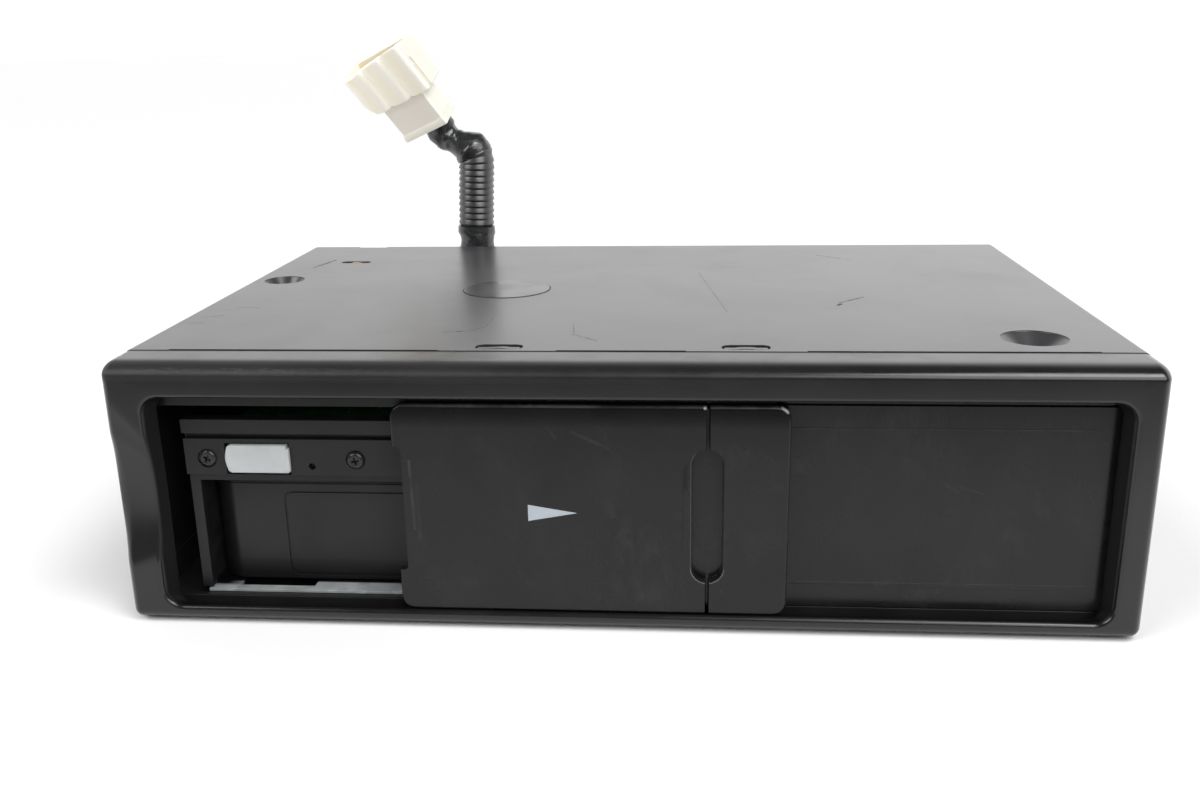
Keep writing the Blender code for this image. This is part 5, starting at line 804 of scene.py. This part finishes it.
def bridge(shape, rings):
    """Adds the faces between each ring of corners and the next."""
    faces = []
    for low, high in zip(rings, rings[1:]):
        for number in range(len(low)):
            other = (number + 1) % len(low)
            faces.append(shape.faces.new((low[number], low[other], high[other], high[number])))
    return faces


def close(shape, rings):
    """Adds a closed skin through rings of points with the same count."""
    rings = [[shape.verts.new(point) for point in ring] for ring in rings]
    faces = bridge(shape, rings)
    faces += [shape.faces.new(rings[0][::-1]), shape.faces.new(rings[-1])]
    bmesh.ops.recalc_face_normals(shape, faces=faces)


def skin(name, *stacks):
    """An object of closed skins, one through each stack of rings."""
    shape = bmesh.new()
    for rings in stacks:
        close(shape, rings)
    return made(name, shape)


def whole_faces(source):
    """A merged copy of a solid's mesh with its flat regions joined."""
    shape = bmesh.new()
    shape.from_mesh(source.data)
    bmesh.ops.remove_doubles(shape, verts=shape.verts, dist=WELD)
    flat = {"verts": shape.verts, "edges": shape.edges, "delimit": {"NORMAL"}}
    bmesh.ops.dissolve_limit(shape, angle_limit=math.radians(FLAT_ANGLE), **flat)
    bmesh.ops.dissolve_degenerate(shape, dist=WELD, edges=shape.edges)
    return shape


def settled(thing):
    """The mesh that a thing's modifiers make."""
    view = bpy.context.evaluated_depsgraph_get()
    return bpy.data.meshes.new_from_object(thing.evaluated_get(view))


def settle(thing):
    """Applies the modifiers and leaves a plain mesh."""
    mesh = settled(thing)
    thing.modifiers.clear()
    thing.data = mesh


def smooth(thing, angle):
    """Smooth shading, with a sharp edge wherever two faces meet at more than an angle."""
    for face in thing.data.polygons:
        face.use_smooth = True
    thing.data.set_sharp_from_angle(angle=math.radians(angle))
    return thing


def soften(thing, width=0.0, angle=SHARP_ANGLE):
    """A narrow bevel on sharp edges, then smooth shading that keeps flat faces flat."""
    if width:
        bevel = thing.modifiers.new("edges", "BEVEL")
        bevel.width, bevel.segments = width * MM, 2
        bevel.limit_method, bevel.angle_limit = "ANGLE", math.radians(angle)
        bevel.use_clamp_overlap = True
        bevel.miter_outer = "MITER_ARC"
        settle(thing)
    smooth(thing, angle + 8)
    thing.modifiers.new("weigh", "WEIGHTED_NORMAL").keep_sharp = True
    settle(thing)
    return thing


def stand_in(name, thing, *more):
    """Puts a finished piece on its solid's body, with its slot, in that solid's place."""
    thing.data.materials.clear()
    thing.data.materials.append(FINISHES[slot_of[name]].material)
    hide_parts(name, *more)
    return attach(thing, frame["nodes"][name]["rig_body"])


def bisect(shape, place, normal, **extra):
    """Cuts every face of a shape along a plane."""
    everything = [*shape.verts, *shape.edges, *shape.faces]
    bmesh.ops.bisect_plane(shape, geom=everything, plane_co=place, plane_no=normal, **extra)


def refine(name, width=0.10, angle=SHARP_ANGLE, across=(0, 0, 1), cuts=(), rule=None):
    """A softer copy of a solid, in its place, cut across a direction at places in mm."""
    shape = whole_faces(frame["nodes"][name])
    for place in cuts:
        bisect(shape, Vector(across) * place * MM, across)
    for corner in shape.verts if rule else ():
        x, y, z = corner.co
        corner.co = at(*rule(x / MM, (y - FRONT) / MM, z / MM))
    return stand_in(name, soften(made(name + "_piece", shape), width, angle))


def cover_rule(x, y, z):
    """The cover ends a millimetre behind the bezel's step, so a dark seam shows."""
    return (x, y * 1.6 - 7.2, z) if 13.9 < y < 14.5 and z > 69.5 else (x, y, z)


def magazine_rule(x, y, z):
    """The magazine's front falls back softly at its left, and the label's line runs low down."""
    if y <= 15.4 and x > -91.5 and 10.4 < z < 13.0:
        z -= 3.0
    if y <= 15.4 and x < -103:
        y += 3.6 * ((-103 - x) / 7.7) ** 2.4
    return x, y, z


def leaf_rule(x, y, z):
    """A leaf leans back softly towards its top, and its edge at the split is crisp."""
    if y > 2.31:
        return x, y, z
    if 21.05 < x < 21.81:
        x = 21.8 - (21.8 - x) * 0.4
    if 22.49 < x < 23.21:
        x = 22.5 + (x - 22.5) * 0.4
    return x, y + 0.45 * (max(z - 54.6, 0) / 6) ** 2, z


def panel_rule(x, y, z):
    """A narrow groove along the fixed panel, just under the bezel's lip."""
    return (x, y + 0.9, z) if 59.74 < z < 60.29 and y < 6.5 else (x, y, z)


SIDEWAYS = (1, 0, 0)
MAGAZINE_CUTS = (-110.1, -109.4, -108.6, -107.7, -106.7, -105.6, -104.4)
LEAF_CUTS = (54.6, 55.6, 56.5, 57.3, 58.0, 58.6, 59.1, 59.5)
PANEL_CUTS = (59.72, 59.75, 60.28, 60.31)
LEAF = {"width": 0.12, "angle": 62, "cuts": LEAF_CUTS, "rule": leaf_rule}
REFINED = {
    "top_cover": {"width": 0.12, "rule": cover_rule},
    "bottom_plate": {"width": 0.2},
    "rear_panel": {"width": 0.12},
    "door_outer": LEAF,
    "door_inner": LEAF,
    "door_track_top": {"width": 0.15},
    "door_track_bottom": {"width": 0.15},
    "fixed_panel": {"width": 0.04, "cuts": PANEL_CUTS, "rule": panel_rule},
    "bay_frame": {"width": 0.12},
    "button_plate": {},
    "magazine": {"across": SIDEWAYS, "cuts": MAGAZINE_CUTS, "rule": magazine_rule},
    "magazine_cage": {"width": 0.12},
    "round_label": {"width": 0.05},
}
INNER = """board_socket control_chip power_capacitor lift_plate turntable spindle_motor
    optical_pickup clamp_arm clamp_puck lift_cam feed_motor harness_grommet lift_post_front
    lift_post_rear lift_post_arm tray_1 tray_2 tray_3 tray_4 tray_5 tray_6 damper_1 damper_2
    damper_3 damper_4""".split()
REFINED.update({name: {} for name in INNER})
for name, options in REFINED.items():
    print(name, len(refine(name, **options).data.polygons), "faces")

# %% [markdown]
# ## The bezel
# The bezel is a ring of sections: outer edge, roll, front face, a small roll into the opening, a
# leaning wall and the lip. The left stile sinks where a finger rests, so its sections are moved
# back by a smooth hollow. The tongues of the solid are kept behind it, with a pad on each.

# %% Bezel
SIDE_STEPS, ROUND_STEPS = 64, 8
HALF_WIDTH, HEIGHT, CORNER = 131.0, 71.0, 3.4
SEAM, TONGUES_FROM, ROLL_END = 14.1, 13.6, 8.0
FRONT_ROLL, FRONT_ROLL_DEEP, WALL, LIP_BACK = 3.2, 6.4, 2.2, 4.2
EDGE_RECT = (-120.6, 4.8, 123.0, 62.3, 4.8)
LIP_RECT = (-117.8, 4.3, 120.7, 61.7, 3.6)
EDGE_ROLL, LIP_ROLL = 1.1, 0.6
HOLLOW_MIDDLE, HOLLOW_HALF, HOLLOW_DEPTH, HOLLOW_EASE = 34.8, 17.5, 3.3, 0.10
PAD_MIDDLES, PAD_MARKS = (-31.7, 31.7), (-5.6, -4, -2.6, -1.3, 0, 1.3, 2.6, 4, 5.6)
PAD_FRONT, PAD_BACK, PAD_BULGE, PAD_LOW, PAD_HIGH, PAD_LEAN = 17.5, 19.4, 0.9, 69.85, 70.88, 0.15


def side_ring(left, low, right, high, radius, depth):
    """A rectangle with round corners and many points on its left side."""
    ring = []
    for number, (x, z) in enumerate(((right, high), (left, high), (left, low), (right, low))):
        cx = x - math.copysign(radius, x)
        cz = z - radius if z == high else z + radius
        for step in range(ROUND_STEPS + 1):
            turn = math.pi / 2 * (number + step / ROUND_STEPS)
            ring.append((cx + radius * math.cos(turn), depth, cz + radius * math.sin(turn)))
        if number == 1:
            fall = (high - low - 2 * radius) / SIDE_STEPS
            ring += [(left, depth, high - radius - fall * step) for step in range(1, SIDE_STEPS)]
    return ring


def hollow(x, y, z):
    """How far back the finger hollow moves a point of the left stile."""
    if x > -100 or y >= LIP_BACK:
        return 0
    share = 1 - ((z - HOLLOW_MIDDLE) / HOLLOW_HALF) ** 2
    eased = (share + math.sqrt(share * share + HOLLOW_EASE ** 2)) / 2
    return HOLLOW_DEPTH * eased * (1 - y / LIP_BACK)


def outer_ring(inset, depth):
    """The outside of the bezel, smaller by an inset."""
    radius = max(CORNER - inset, CORNER / 4)
    return side_ring(inset - HALF_WIDTH, inset, HALF_WIDTH - inset, HEIGHT - inset, radius, depth)


def opening_ring(share, grow, depth):
    """The opening, from its front edge at share 0 to its lip at share 1, larger by grow."""
    left, low, right, high, radius = (a + (b - a) * share for a, b in zip(EDGE_RECT, LIP_RECT))
    return side_ring(left - grow, low - grow, right + grow, high + grow, radius + grow, depth)


def bezel_rings():
    """The sections, from the rear outside over the front to the rear inside."""
    turns = [math.pi / 2 * step / ROUND_STEPS for step in range(ROUND_STEPS + 1)]
    curve = [(1 - math.cos(t), 1 - math.sin(t)) for t in turns]
    wall_end = LIP_BACK - LIP_ROLL
    return [
        outer_ring(0, SEAM),
        outer_ring(0, ROLL_END),
        *(outer_ring(FRONT_ROLL * c, FRONT_ROLL_DEEP * s) for c, s in curve),
        *(opening_ring(0, EDGE_ROLL * s, EDGE_ROLL * c) for c, s in curve[::2]),
        *(opening_ring(s, 0, EDGE_ROLL + s * (wall_end - EDGE_ROLL)) for s in (0.33, 0.67, 1.0)),
        *(opening_ring(1, LIP_ROLL * c, LIP_BACK - LIP_ROLL * s) for c, s in curve[2::2]),
        outer_ring(WALL, LIP_BACK),
        outer_ring(WALL, SEAM),
    ]


def pad_rings(middle):
    """A low block that stands in a window of the cover, bulged in front and leaning inwards."""
    bulge = [(x, PAD_FRONT + PAD_BULGE * math.exp(-(x / 1.7) ** 2)) for x in PAD_MARKS]
    outline = [(PAD_MARKS[-1], PAD_BACK), (PAD_MARKS[0], PAD_BACK), *bulge]
    outline = [Vector((middle + x, y)) for x, y in outline]
    centre = sum(outline, Vector((0, 0))) / len(outline)
    leaning = [p + (centre - p).normalized() * PAD_LEAN for p in outline]
    rings = ((PAD_LOW, outline), (PAD_HIGH, leaning))
    return [[at(p.x, p.y, height) for p in ring] for height, ring in rings]


def make_bezel():
    """The ring of sections, the solid's tongues and a pad on each of them."""
    shape = whole_faces(frame["nodes"]["bezel"])
    bisect(shape, at(0, TONGUES_FROM, 0), (0, 1, 0), clear_inner=True)
    rows = [
        [shape.verts.new(at(x, y + hollow(x, y, z), z)) for x, y, z in ring]
        for ring in bezel_rings()
    ]
    bmesh.ops.recalc_face_normals(shape, faces=bridge(shape, rows + rows[:1]))
    for middle in PAD_MIDDLES:
        close(shape, pad_rings(middle))
    return stand_in("bezel", soften(made("bezel_ring", shape), angle=30))


print("bezel", len(make_bezel().data.polygons), "faces")

# %% [markdown]
# ## The wiring loom
# The wires leave the rear panel through a grommet, turn up in a wrap of vinyl tape, run through a
# ribbed loom and bend over into the connector. The route is the list of points that the solid
# model uses. A skin of rings is laid on it: the radius follows a table of stations, each turn of
# tape leaves a small step, and creases come from folded noise, so light breaks on them.

# %% The taped bundle
LOOM_FROM, LOOM_TO = 76.3 * MM, 104.9 * MM
LAST = len(FINE_ROUTE) - 1
STEP = ROUTE_LENGTH / MM / LAST
RUN_FROM, RUN_TO = (
    STEP * next(i for i, point in enumerate(FINE_ROUTE) if point.z > height)
    for height in (LOOM_FROM, LOOM_TO)
)
RUN_END = ROUTE_LENGTH / MM
# A station has a run along the route, half a width, half a depth and the depth of the creases.
TAPE_STATIONS = [
    (0.0, 4.1, 4.1, 0.0),
    (2.4, 4.1, 4.1, 0.0),
    (3.0, 6.2, 6.2, 0.3),
    (RUN_FROM - 14.0, 6.9, 6.9, 0.9),
    (RUN_FROM - 3.6, 7.0, 7.0, 0.9),
    (RUN_FROM - 3.2, 7.3, 7.3, 0.3),
    (RUN_FROM - 0.3, 7.2, 7.2, 0.2),
    (RUN_FROM + 0.2, 5.1, 5.1, 0.0),
    (RUN_TO - 1.4, 5.1, 5.1, 0.0),
    (RUN_TO - 1.0, 7.3, 7.2, 0.2),
    (RUN_TO + 2.0, 7.0, 7.2, 0.6),
    (RUN_TO + 5.0, 5.6, 6.4, 0.9),
    (RUN_TO + 9.0, 4.8, 5.6, 1.1),
    (RUN_END - 5.0, 5.4, 5.2, 0.8),
    (RUN_END, 6.2, 4.6, 0.2),
]
TAPE_SIDES, TAPE_PITCH, TAPE_TURN, TAPE_SHARP = 56, 8.5, 10, 50
FOLD_SIZES = ((11.0, 1.3), (5.0, 0.35))


def station(run):
    """Half width, half depth and crease depth at a run along the route, in mm."""
    for low, high in zip(TAPE_STATIONS, TAPE_STATIONS[1:]):
        if run <= high[0]:
            share = (run - low[0]) / (high[0] - low[0])
            return [a + (b - a) * share for a, b in zip(low[1:], high[1:])]
    return TAPE_STATIONS[-1][1:]


def folds(spot, run):
    """The folds of stretched tape: noise that is folded sharp along its ridges, in mm."""
    height = 0
    for size, depth in FOLD_SIZES:
        sample = (spot + Vector((0, 0, run * 0.25 * MM))) / (size * MM)
        height += depth * (0.5 - abs(noise.noise(sample)) * 2)
    return height


def tape_ring(number):
    """A ring of the bundle's skin, square to the route, creased and stepped."""
    ahead = (FINE_ROUTE[min(number + 1, LAST)] - FINE_ROUTE[max(number - 1, 0)]).normalized()
    if number > LAST - TAPE_TURN:
        ahead = ahead.lerp(ALONG, (number - LAST + TAPE_TURN) / TAPE_TURN).normalized()
    wide = (ACROSS - ahead * ACROSS.dot(ahead)).normalized()
    deep = ahead.cross(wide)
    run = STEP * number
    half_wide, half_deep, fold = station(run)
    ring = []
    for side in range(TAPE_SIDES):
        turn = 2 * math.pi * side / TAPE_SIDES
        way = wide * math.cos(turn) * half_wide + deep * math.sin(turn) * half_deep
        spot = FINE_ROUTE[number] + way * MM
        lap = (run / TAPE_PITCH + side / TAPE_SIDES) % 1.0
        rise = fold * folds(spot, run) + min(fold, 0.5) * 0.5 * lap
        ring.append(spot + way.normalized() * rise * MM)
    return ring


BUNDLE = smooth(skin("harness_bundle", [tape_ring(n) for n in range(LAST + 1)]), TAPE_SHARP)
print("bundle", len(BUNDLE.data.polygons), "faces")

# %% [markdown]
# ## The ribbed loom
# A loom of this sort is a thin tube whose wall goes in and out in waves. The shape follows one
# rule, so Geometry Nodes make it: the route's straight part is resampled finely, a wave of the
# run sets the radius at each point, and a circle is swept along it.

# %% Loom tree
LOOM_POINTS, LOOM_SIDES, RIB_PEAK, RIB_ROOT, RIB_POWER = 300, 48, 0.3, 0.1, 0.8


def node_tree(name, kinds):
    """An empty Geometry Nodes tree, its web, and the wires of its geometry and named inputs."""
    tree = bpy.data.node_groups.new(name, "GeometryNodeTree")
    for way in ("INPUT", "OUTPUT"):
        tree.interface.new_socket("Geometry", in_out=way, socket_type="NodeSocketGeometry")
    for title, kind in kinds.items():
        tree.interface.new_socket(title, in_out="INPUT", socket_type="NodeSocket" + kind)
    web, source = Web(tree), tree.nodes.new("NodeGroupInput")
    return tree, web, [Wire(web, source.outputs[title]) for title in ("Geometry", *kinds)]


def run_tree(thing, tree, shape, values):
    """Ends a tree in a real and dressed shape, and gives the mesh that it makes of a thing."""
    plain = shape.web.add("GeometryNodeRealizeInstances", {"Geometry": shape})
    finish = Wire(shape.web, tree.nodes["Group Input"].outputs["Finish"])
    dressed = shape.web.add("GeometryNodeSetMaterial", {"Geometry": plain, "Material": finish})
    shape.web.feed(tree.nodes.new("NodeGroupOutput").inputs[0], dressed)
    modifier = thing.modifiers.new(tree.name, "NODES")
    modifier.node_group = tree
    for item in tree.interface.items_tree:
        if item.in_out == "INPUT" and item.name in values:
            modifier[item.identifier] = values[item.name]
    mesh = settled(thing)
    bpy.data.objects.remove(thing)
    return mesh


def loom_tree():
    """Sweeps a circle along a curve, with a radius that goes in and out at each pitch."""
    kinds = {"Pitch": "Float", "Root": "Float", "Crest": "Float", "Finish": "Material"}
    tree, web, (line, pitch, root, crest, _) = node_tree("ribbed_loom", kinds)
    fine = web.add("GeometryNodeResampleCurve", {"Curve": line, "Count": LOOM_POINTS})
    run = web.add("GeometryNodeSplineParameter", {}, 1)
    share = run.sum("FRACT", run / pitch)
    rise, fall = web.ramp(share, 0.0, RIB_PEAK), web.ramp(share, RIB_PEAK, 1.0, 1.0, RIB_ROOT)
    rib = rise.sum("POWER", rise.sum("MINIMUM", rise, fall), RIB_POWER)
    ring = web.add("GeometryNodeCurvePrimitiveCircle", {"Resolution": LOOM_SIDES, "Radius": 1.0})
    values = {"Curve": fine, "Profile Curve": ring, "Scale": root + (crest - root) * rib}
    return tree, web.add("GeometryNodeCurveToMesh", {**values, "Fill Caps": True})


def route_curve(name, points):
    """A curve object of straight pieces through the points."""
    curve = bpy.data.curves.new(name, "CURVE")
    curve.dimensions = "3D"
    spline = curve.splines.new("POLY")
    spline.points.add(len(points) - 1)
    for spot, point in zip(spline.points, points):
        spot.co = (*point, 1)
    return link(name, curve)


loom_points = [p for p in FINE_ROUTE if LOOM_FROM <= p.z <= LOOM_TO]
loom_values = {"Pitch": 2.43 * MM, "Root": 6.45 * MM, "Crest": 7.08 * MM}
loom_values["Finish"] = FINISHES["loom_black"].material
loom_mesh = run_tree(route_curve("loom_line", loom_points), *loom_tree(), loom_values)
for face in loom_mesh.polygons:
    face.use_smooth = len(face.vertices) == 4
LOOM = link("harness_conduit", loom_mesh)
loom_length = (loom_points[-1] - loom_points[0]).length / MM
print("loom", len(loom_mesh.polygons), "faces", round(loom_length, 1), "mm")

# %% [markdown]
# ## The connector
# Both halves are ivory mouldings. The holder is a block with a collar, and the shell in front of
# it swells in three lobes with a groove between each two. Their outlines are drawn as rings of
# points on the connector's axes and lofted, then the mouth and the slit are cut with a Boolean.

# %% Lofts on the connector
CORNER_STEPS, LOBE_STEPS, LOBE_PEAK = 5, 18, 0.80
HOLDER_WIDE, HOLDER_HIGH = 20.4, 11.0
# A section of the holder has a place along its axis, how much wider it is and a corner radius.
HOLDER_SECTIONS = [
    (0.0, 0.7, 0.6), (0.2, 1.0, 0.8), (1.6, 1.0, 0.8), (3.0, 0.1, 0.6), (3.1, -0.2, 0.6),
    (15.2, -0.2, 0.6), (15.4, -0.6, 0.5),
]
SHELL_FROM, SHELL_LENGTH, SHELL_HIGH, SHELL_DIP, SHELL_BEVEL = 15.7, 17.0, 15.0, 2.1, 0.18
SHELL_TO = SHELL_FROM + SHELL_LENGTH
SHELL_EDGE, SHELL_INSET = 0.4, 0.8


def loft(name, sections):
    """A closed skin through outlines in mm on the connector, each at a place along it."""
    rings = [[on_connector(a, t, along) for a, t in outline] for along, outline in sections]
    return skin(name, rings)


def rounded(width, height, radius):
    """A rectangle with round corners."""
    outline = []
    for number, (sx, sy) in enumerate(((1, 1), (-1, 1), (-1, -1), (1, -1))):
        for step in range(CORNER_STEPS + 1):
            turn = math.pi / 2 * (number + step / CORNER_STEPS)
            x = sx * (width / 2 - radius) + radius * math.cos(turn)
            y = sy * (height / 2 - radius) + radius * math.sin(turn)
            outline.append((x, y))
    return outline


def swell(share):
    """How far a lobe stands out at a share of its width: it rises slowly and ends in a ridge."""
    if share < LOBE_PEAK:
        return math.sin(share / LOBE_PEAK * math.pi / 2) ** 0.75
    return math.cos((share - LOBE_PEAK) / (1 - LOBE_PEAK) * math.pi / 2) ** 0.5


def lobed(inset):
    """The shell's outline, smaller by an inset: lobes in front, mirrored behind, flat sides."""
    width, height = SHELL_WIDTH - inset, SHELL_HIGH - inset
    front, back = [], []
    for number in range(LOBES * LOBE_STEPS + 1):
        share = (number % LOBE_STEPS) / LOBE_STEPS
        x = width * (number / (LOBES * LOBE_STEPS) - 0.5)
        rise = swell(share) if number < LOBES * LOBE_STEPS else 0
        back.append((-x, height / 2 - SHELL_DIP * (1 - rise)))
        front.append((x, -height / 2 + SHELL_DIP * (1 - rise)))
    return front + back


def cut_away(thing, *cutters):
    """Takes other closed shapes out of a thing."""
    for cutter in cutters:
        boolean = thing.modifiers.new("cut", "BOOLEAN")
        boolean.operation, boolean.solver, boolean.object = "DIFFERENCE", "EXACT", cutter
    settle(thing)
    for cutter in cutters:
        bpy.data.objects.remove(cutter)


def connector_holder():
    """The block that holds the wires, with its collar at the back."""
    rows = [(a, rounded(HOLDER_WIDE + g, HOLDER_HIGH + g, r)) for a, g, r in HOLDER_SECTIONS]
    return soften(loft("holder_block", rows))


def slant(shell, start, end):
    """Leans the shell's rim: it rises to the right, most of all at the front."""
    for corner in shell.data.vertices:
        place = (corner.co - CONNECTOR_BASE) / MM
        across, through, along = (place.dot(way) for way in (ACROSS, THROUGH, ALONG))
        if along > start:
            side = across / SHELL_WIDTH + 0.5
            front = min(1, max(0, 0.5 - through / 12))
            rise = (0.2 + 3.2 * side) * front + 0.4 * side * (1 - front)
            corner.co += ALONG * rise * (along - start) / (end - start) * MM


def cropping(right):
    """A tall block's outline from far left to a right side."""
    return [(-30, -20), (-30, 20), (right, 20), (right, -20)]


def connector_shell():
    """The lobed shell with its mouth, the slit beside the last lobe and a cropped corner."""
    start, end = SHELL_FROM, SHELL_TO
    whole, small = lobed(0), lobed(SHELL_INSET)
    edges = [(start, small), (start + SHELL_EDGE, whole), (end - SHELL_EDGE, whole), (end, small)]
    shell = loft("shell_block", edges)
    mouth = [(start + 4.0, rounded(25.0, 8.6, 0.8)), (start + 24.0, rounded(25.6, 9.2, 0.8))]
    slit = [(14.4, -5.5), (14.4, -4.2), (16.4, -4.2), (16.4, -5.5)]
    slant(shell, end - 1, end)
    cut_away(
        shell,
        loft("mouth", mouth),
        loft("slit", [(start - 1.0, slit), (start + 13.5, slit)]),
        loft("corner", [(start - 3.0, cropping(-8.2)), (start + 4.2, cropping(-15.6))]),
    )
    return soften(shell, SHELL_BEVEL, 30)


HOLDER = connector_holder()
SHELL = connector_shell()
print("connector", len(HOLDER.data.polygons), "and", len(SHELL.data.polygons), "faces")

HOLDER = stand_in("connector_holder", HOLDER)
SHELL = stand_in("connector_shell", SHELL)
LOOM = stand_in("harness_loom", LOOM)
BUNDLE.data.materials.append(FINISHES["cloth_tape"].material)
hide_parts("harness_wires", "harness_sleeve")
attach(BUNDLE, frame["nodes"]["harness_wires"]["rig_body"])
print("harness", round(ROUTE_LENGTH / MM, 1), "mm")

# %% [markdown]
# ## Button and screws
# The eject button is a cap with a bowed left side and tabs that keep it behind the plate. The two
# screws of the plate are one head, drawn once and set on two points by Geometry Nodes.

# %% Eject button
CAP_LEFT, CAP_RIGHT, CAP_LOW, CAP_HIGH, CAP_BOW, CAP_STEPS = -102.1, -85.6, 40.1, 47.75, 0.65, 10
CAP_RINGS = ((12.6, 0), (7.0, 0), (6.72, 0.08), (6.56, 0.25), (6.5, 0.55))
TAB_CORNERS = ((-84.8, 40.6), (-84.8, 46.6), (-103.8, 46.6), (-103.8, 40.6))
TAB_DEPTHS = (12.55, 11.3)


def cap_ring(y, inset):
    """The button's outline at a depth: bowed at the left, with a small notch at the top right."""
    left, right, low, high = CAP_LEFT + inset, CAP_RIGHT - inset, CAP_LOW + inset, CAP_HIGH - inset
    outline = [(right, low + 0.5), (right, high - 1.0), (right - 0.75, high - 0.95)]
    outline += [(right - 0.8, high), (left + 0.9, high)]
    for step in range(CAP_STEPS + 1):
        turn = step / CAP_STEPS
        bow = CAP_BOW * math.sin(turn * math.pi)
        outline.append((left - bow, high - 0.5 - (high - low - 1.0) * turn))
    outline += [(left + 0.7, low), (right - 0.6, low)]
    return [at(x, y, z) for x, z in outline]


cap = [cap_ring(*row) for row in CAP_RINGS]
tabs = [[at(x, y, z) for x, z in TAB_CORNERS] for y in TAB_DEPTHS]
BUTTON = stand_in("eject_button", soften(skin("eject_cap", cap, tabs), angle=34))
print("button", len(BUTTON.data.polygons), "faces")

# %% Screw under the slot
VIEW_X, VIEW_Y = -103.6, 141.4
# A ring of the dome has half a width, half a depth and a height.
VIEW_PROFILE = [
    (1.6, 1.6, 62.5), (2.0, 2.0, 63.0), (2.0, 2.0, 68.4), (4.0, 4.0, 68.5), (4.0, 4.0, 69.5),
    (3.7, 3.7, 69.8), (2.5, 1.55, 69.85), (2.4, 1.5, 70.3), (2.0, 1.25, 70.7), (1.2, 0.8, 70.92),
    (0.4, 0.3, 70.96),
]


def turned(wide, deep, sides):
    """The points of an ellipse about the origin, in mm."""
    turns = [2 * math.pi * side / sides for side in range(sides)]
    return [(wide * math.cos(t), deep * math.sin(t)) for t in turns]


dome = [[at(VIEW_X + x, VIEW_Y + y, z) for x, y in turned(w, d, 32)] for w, d, z in VIEW_PROFILE]
VIEW_SCREW = stand_in("view_screw", soften(skin("view_dome", dome), angle=40))
print("view screw", len(VIEW_SCREW.data.polygons), "faces")

# %% Screw heads
HEAD_PROFILE = [
    (1.0, 5.0), (1.1, 0.35), (2.3, 0.35), (2.32, 0.02), (2.18, -0.36), (1.85, -0.72),
    (1.45, -0.86), (1.4, -0.86),
]
RECESS = [Vector(p) for p in ((1.05, 0.24), (0.34, 0.34), (0.24, 1.05))]
RECESS_END, RECESS_RINGS = Vector((0, 1.02)), ((1.0, -0.80), (0.8, 0.1))
SCREW_SPOTS = [at(-107.5, 7.46, 44.0), at(-68.3, 7.46, 43.7)]


def pan_head():
    """A pan head that faces -Y at the origin: turned rings, then a cross recess."""
    a, b, c = RECESS
    path = [a, a.lerp(b, 0.5), b, b.lerp(c, 0.5), c, RECESS_END]
    cross = [Matrix.Rotation(math.pi / 2 * quarter, 2) @ p for quarter in range(4) for p in path]
    rings = [[(x, depth, z) for x, z in turned(r, r, len(cross))] for r, depth in HEAD_PROFILE]
    rings += [[(p.x * size, depth, p.y * size) for p in cross] for size, depth in RECESS_RINGS]
    return skin("pan_head", [[Vector(p) * MM for p in ring] for ring in rings])


def screw_tree():
    """Sets a head on each point, each one turned a little further than the last."""
    kinds = {"Head": "Object", "Turn": "Float", "Start": "Float", "Finish": "Material"}
    tree, web, (spots, head, turn, start, _) = node_tree("screws_on_points", kinds)
    cloud = web.add("GeometryNodeMeshToPoints", {"Mesh": spots})
    shape = web.add("GeometryNodeObjectInfo", {"Object": head}, 4)
    spin = start + web.add("GeometryNodeInputIndex", {}) * turn
    spin = web.add("ShaderNodeCombineXYZ", {"Y": spin})
    values = {"Points": cloud, "Instance": shape, "Rotation": spin}
    return tree, web.add("GeometryNodeInstanceOnPoints", values)


spots = bpy.data.meshes.new("screw_spots")
spots.from_pydata(SCREW_SPOTS, [], [])
head = pan_head()
values = {"Head": head, "Turn": -0.75, "Start": 0.5, "Finish": FINISHES["black_screw"].material}
screw_mesh = run_tree(link("screw_spots", spots), *screw_tree(), values)
bpy.data.objects.remove(head)
screws = soften(link("plate_screws", screw_mesh), angle=34)
SCREWS = stand_in("plate_screw_left", screws, "plate_screw_right")
print("screws", len(SCREWS.data.polygons), "faces", [round(v / MM, 1) for v in SCREWS.dimensions])

# %% [markdown]
# ## The arrow on the door
# A white triangle printed on the left leaf shows which way the door slides. It is a film a few
# hundredths of a millimetre thick, so it is a flat prism.

# %% Arrow
ARROW_CORNERS, ARROW_BACK, ARROW_FRONT = ((-23.1, 34.4), (-23.1, 30.0), (-10.6, 32.3)), 0.03, -0.02

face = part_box("door_outer")[0].y
rings = [
    [Vector((x * MM, face + depth * MM, z * MM)) for x, z in ARROW_CORNERS]
    for depth in (ARROW_BACK, ARROW_FRONT)
]
ARROW_WHITE = pale_plastic("arrow_white", (0.42, 0.46, 0.50), (0.36, 0.40, 0.44), 0.4, 0.5)
ARROW = skin("door_arrow", rings)
ARROW.data.materials.append(ARROW_WHITE.material)
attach(ARROW, frame["nodes"]["door_outer"]["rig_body"])
print("arrow on the door")
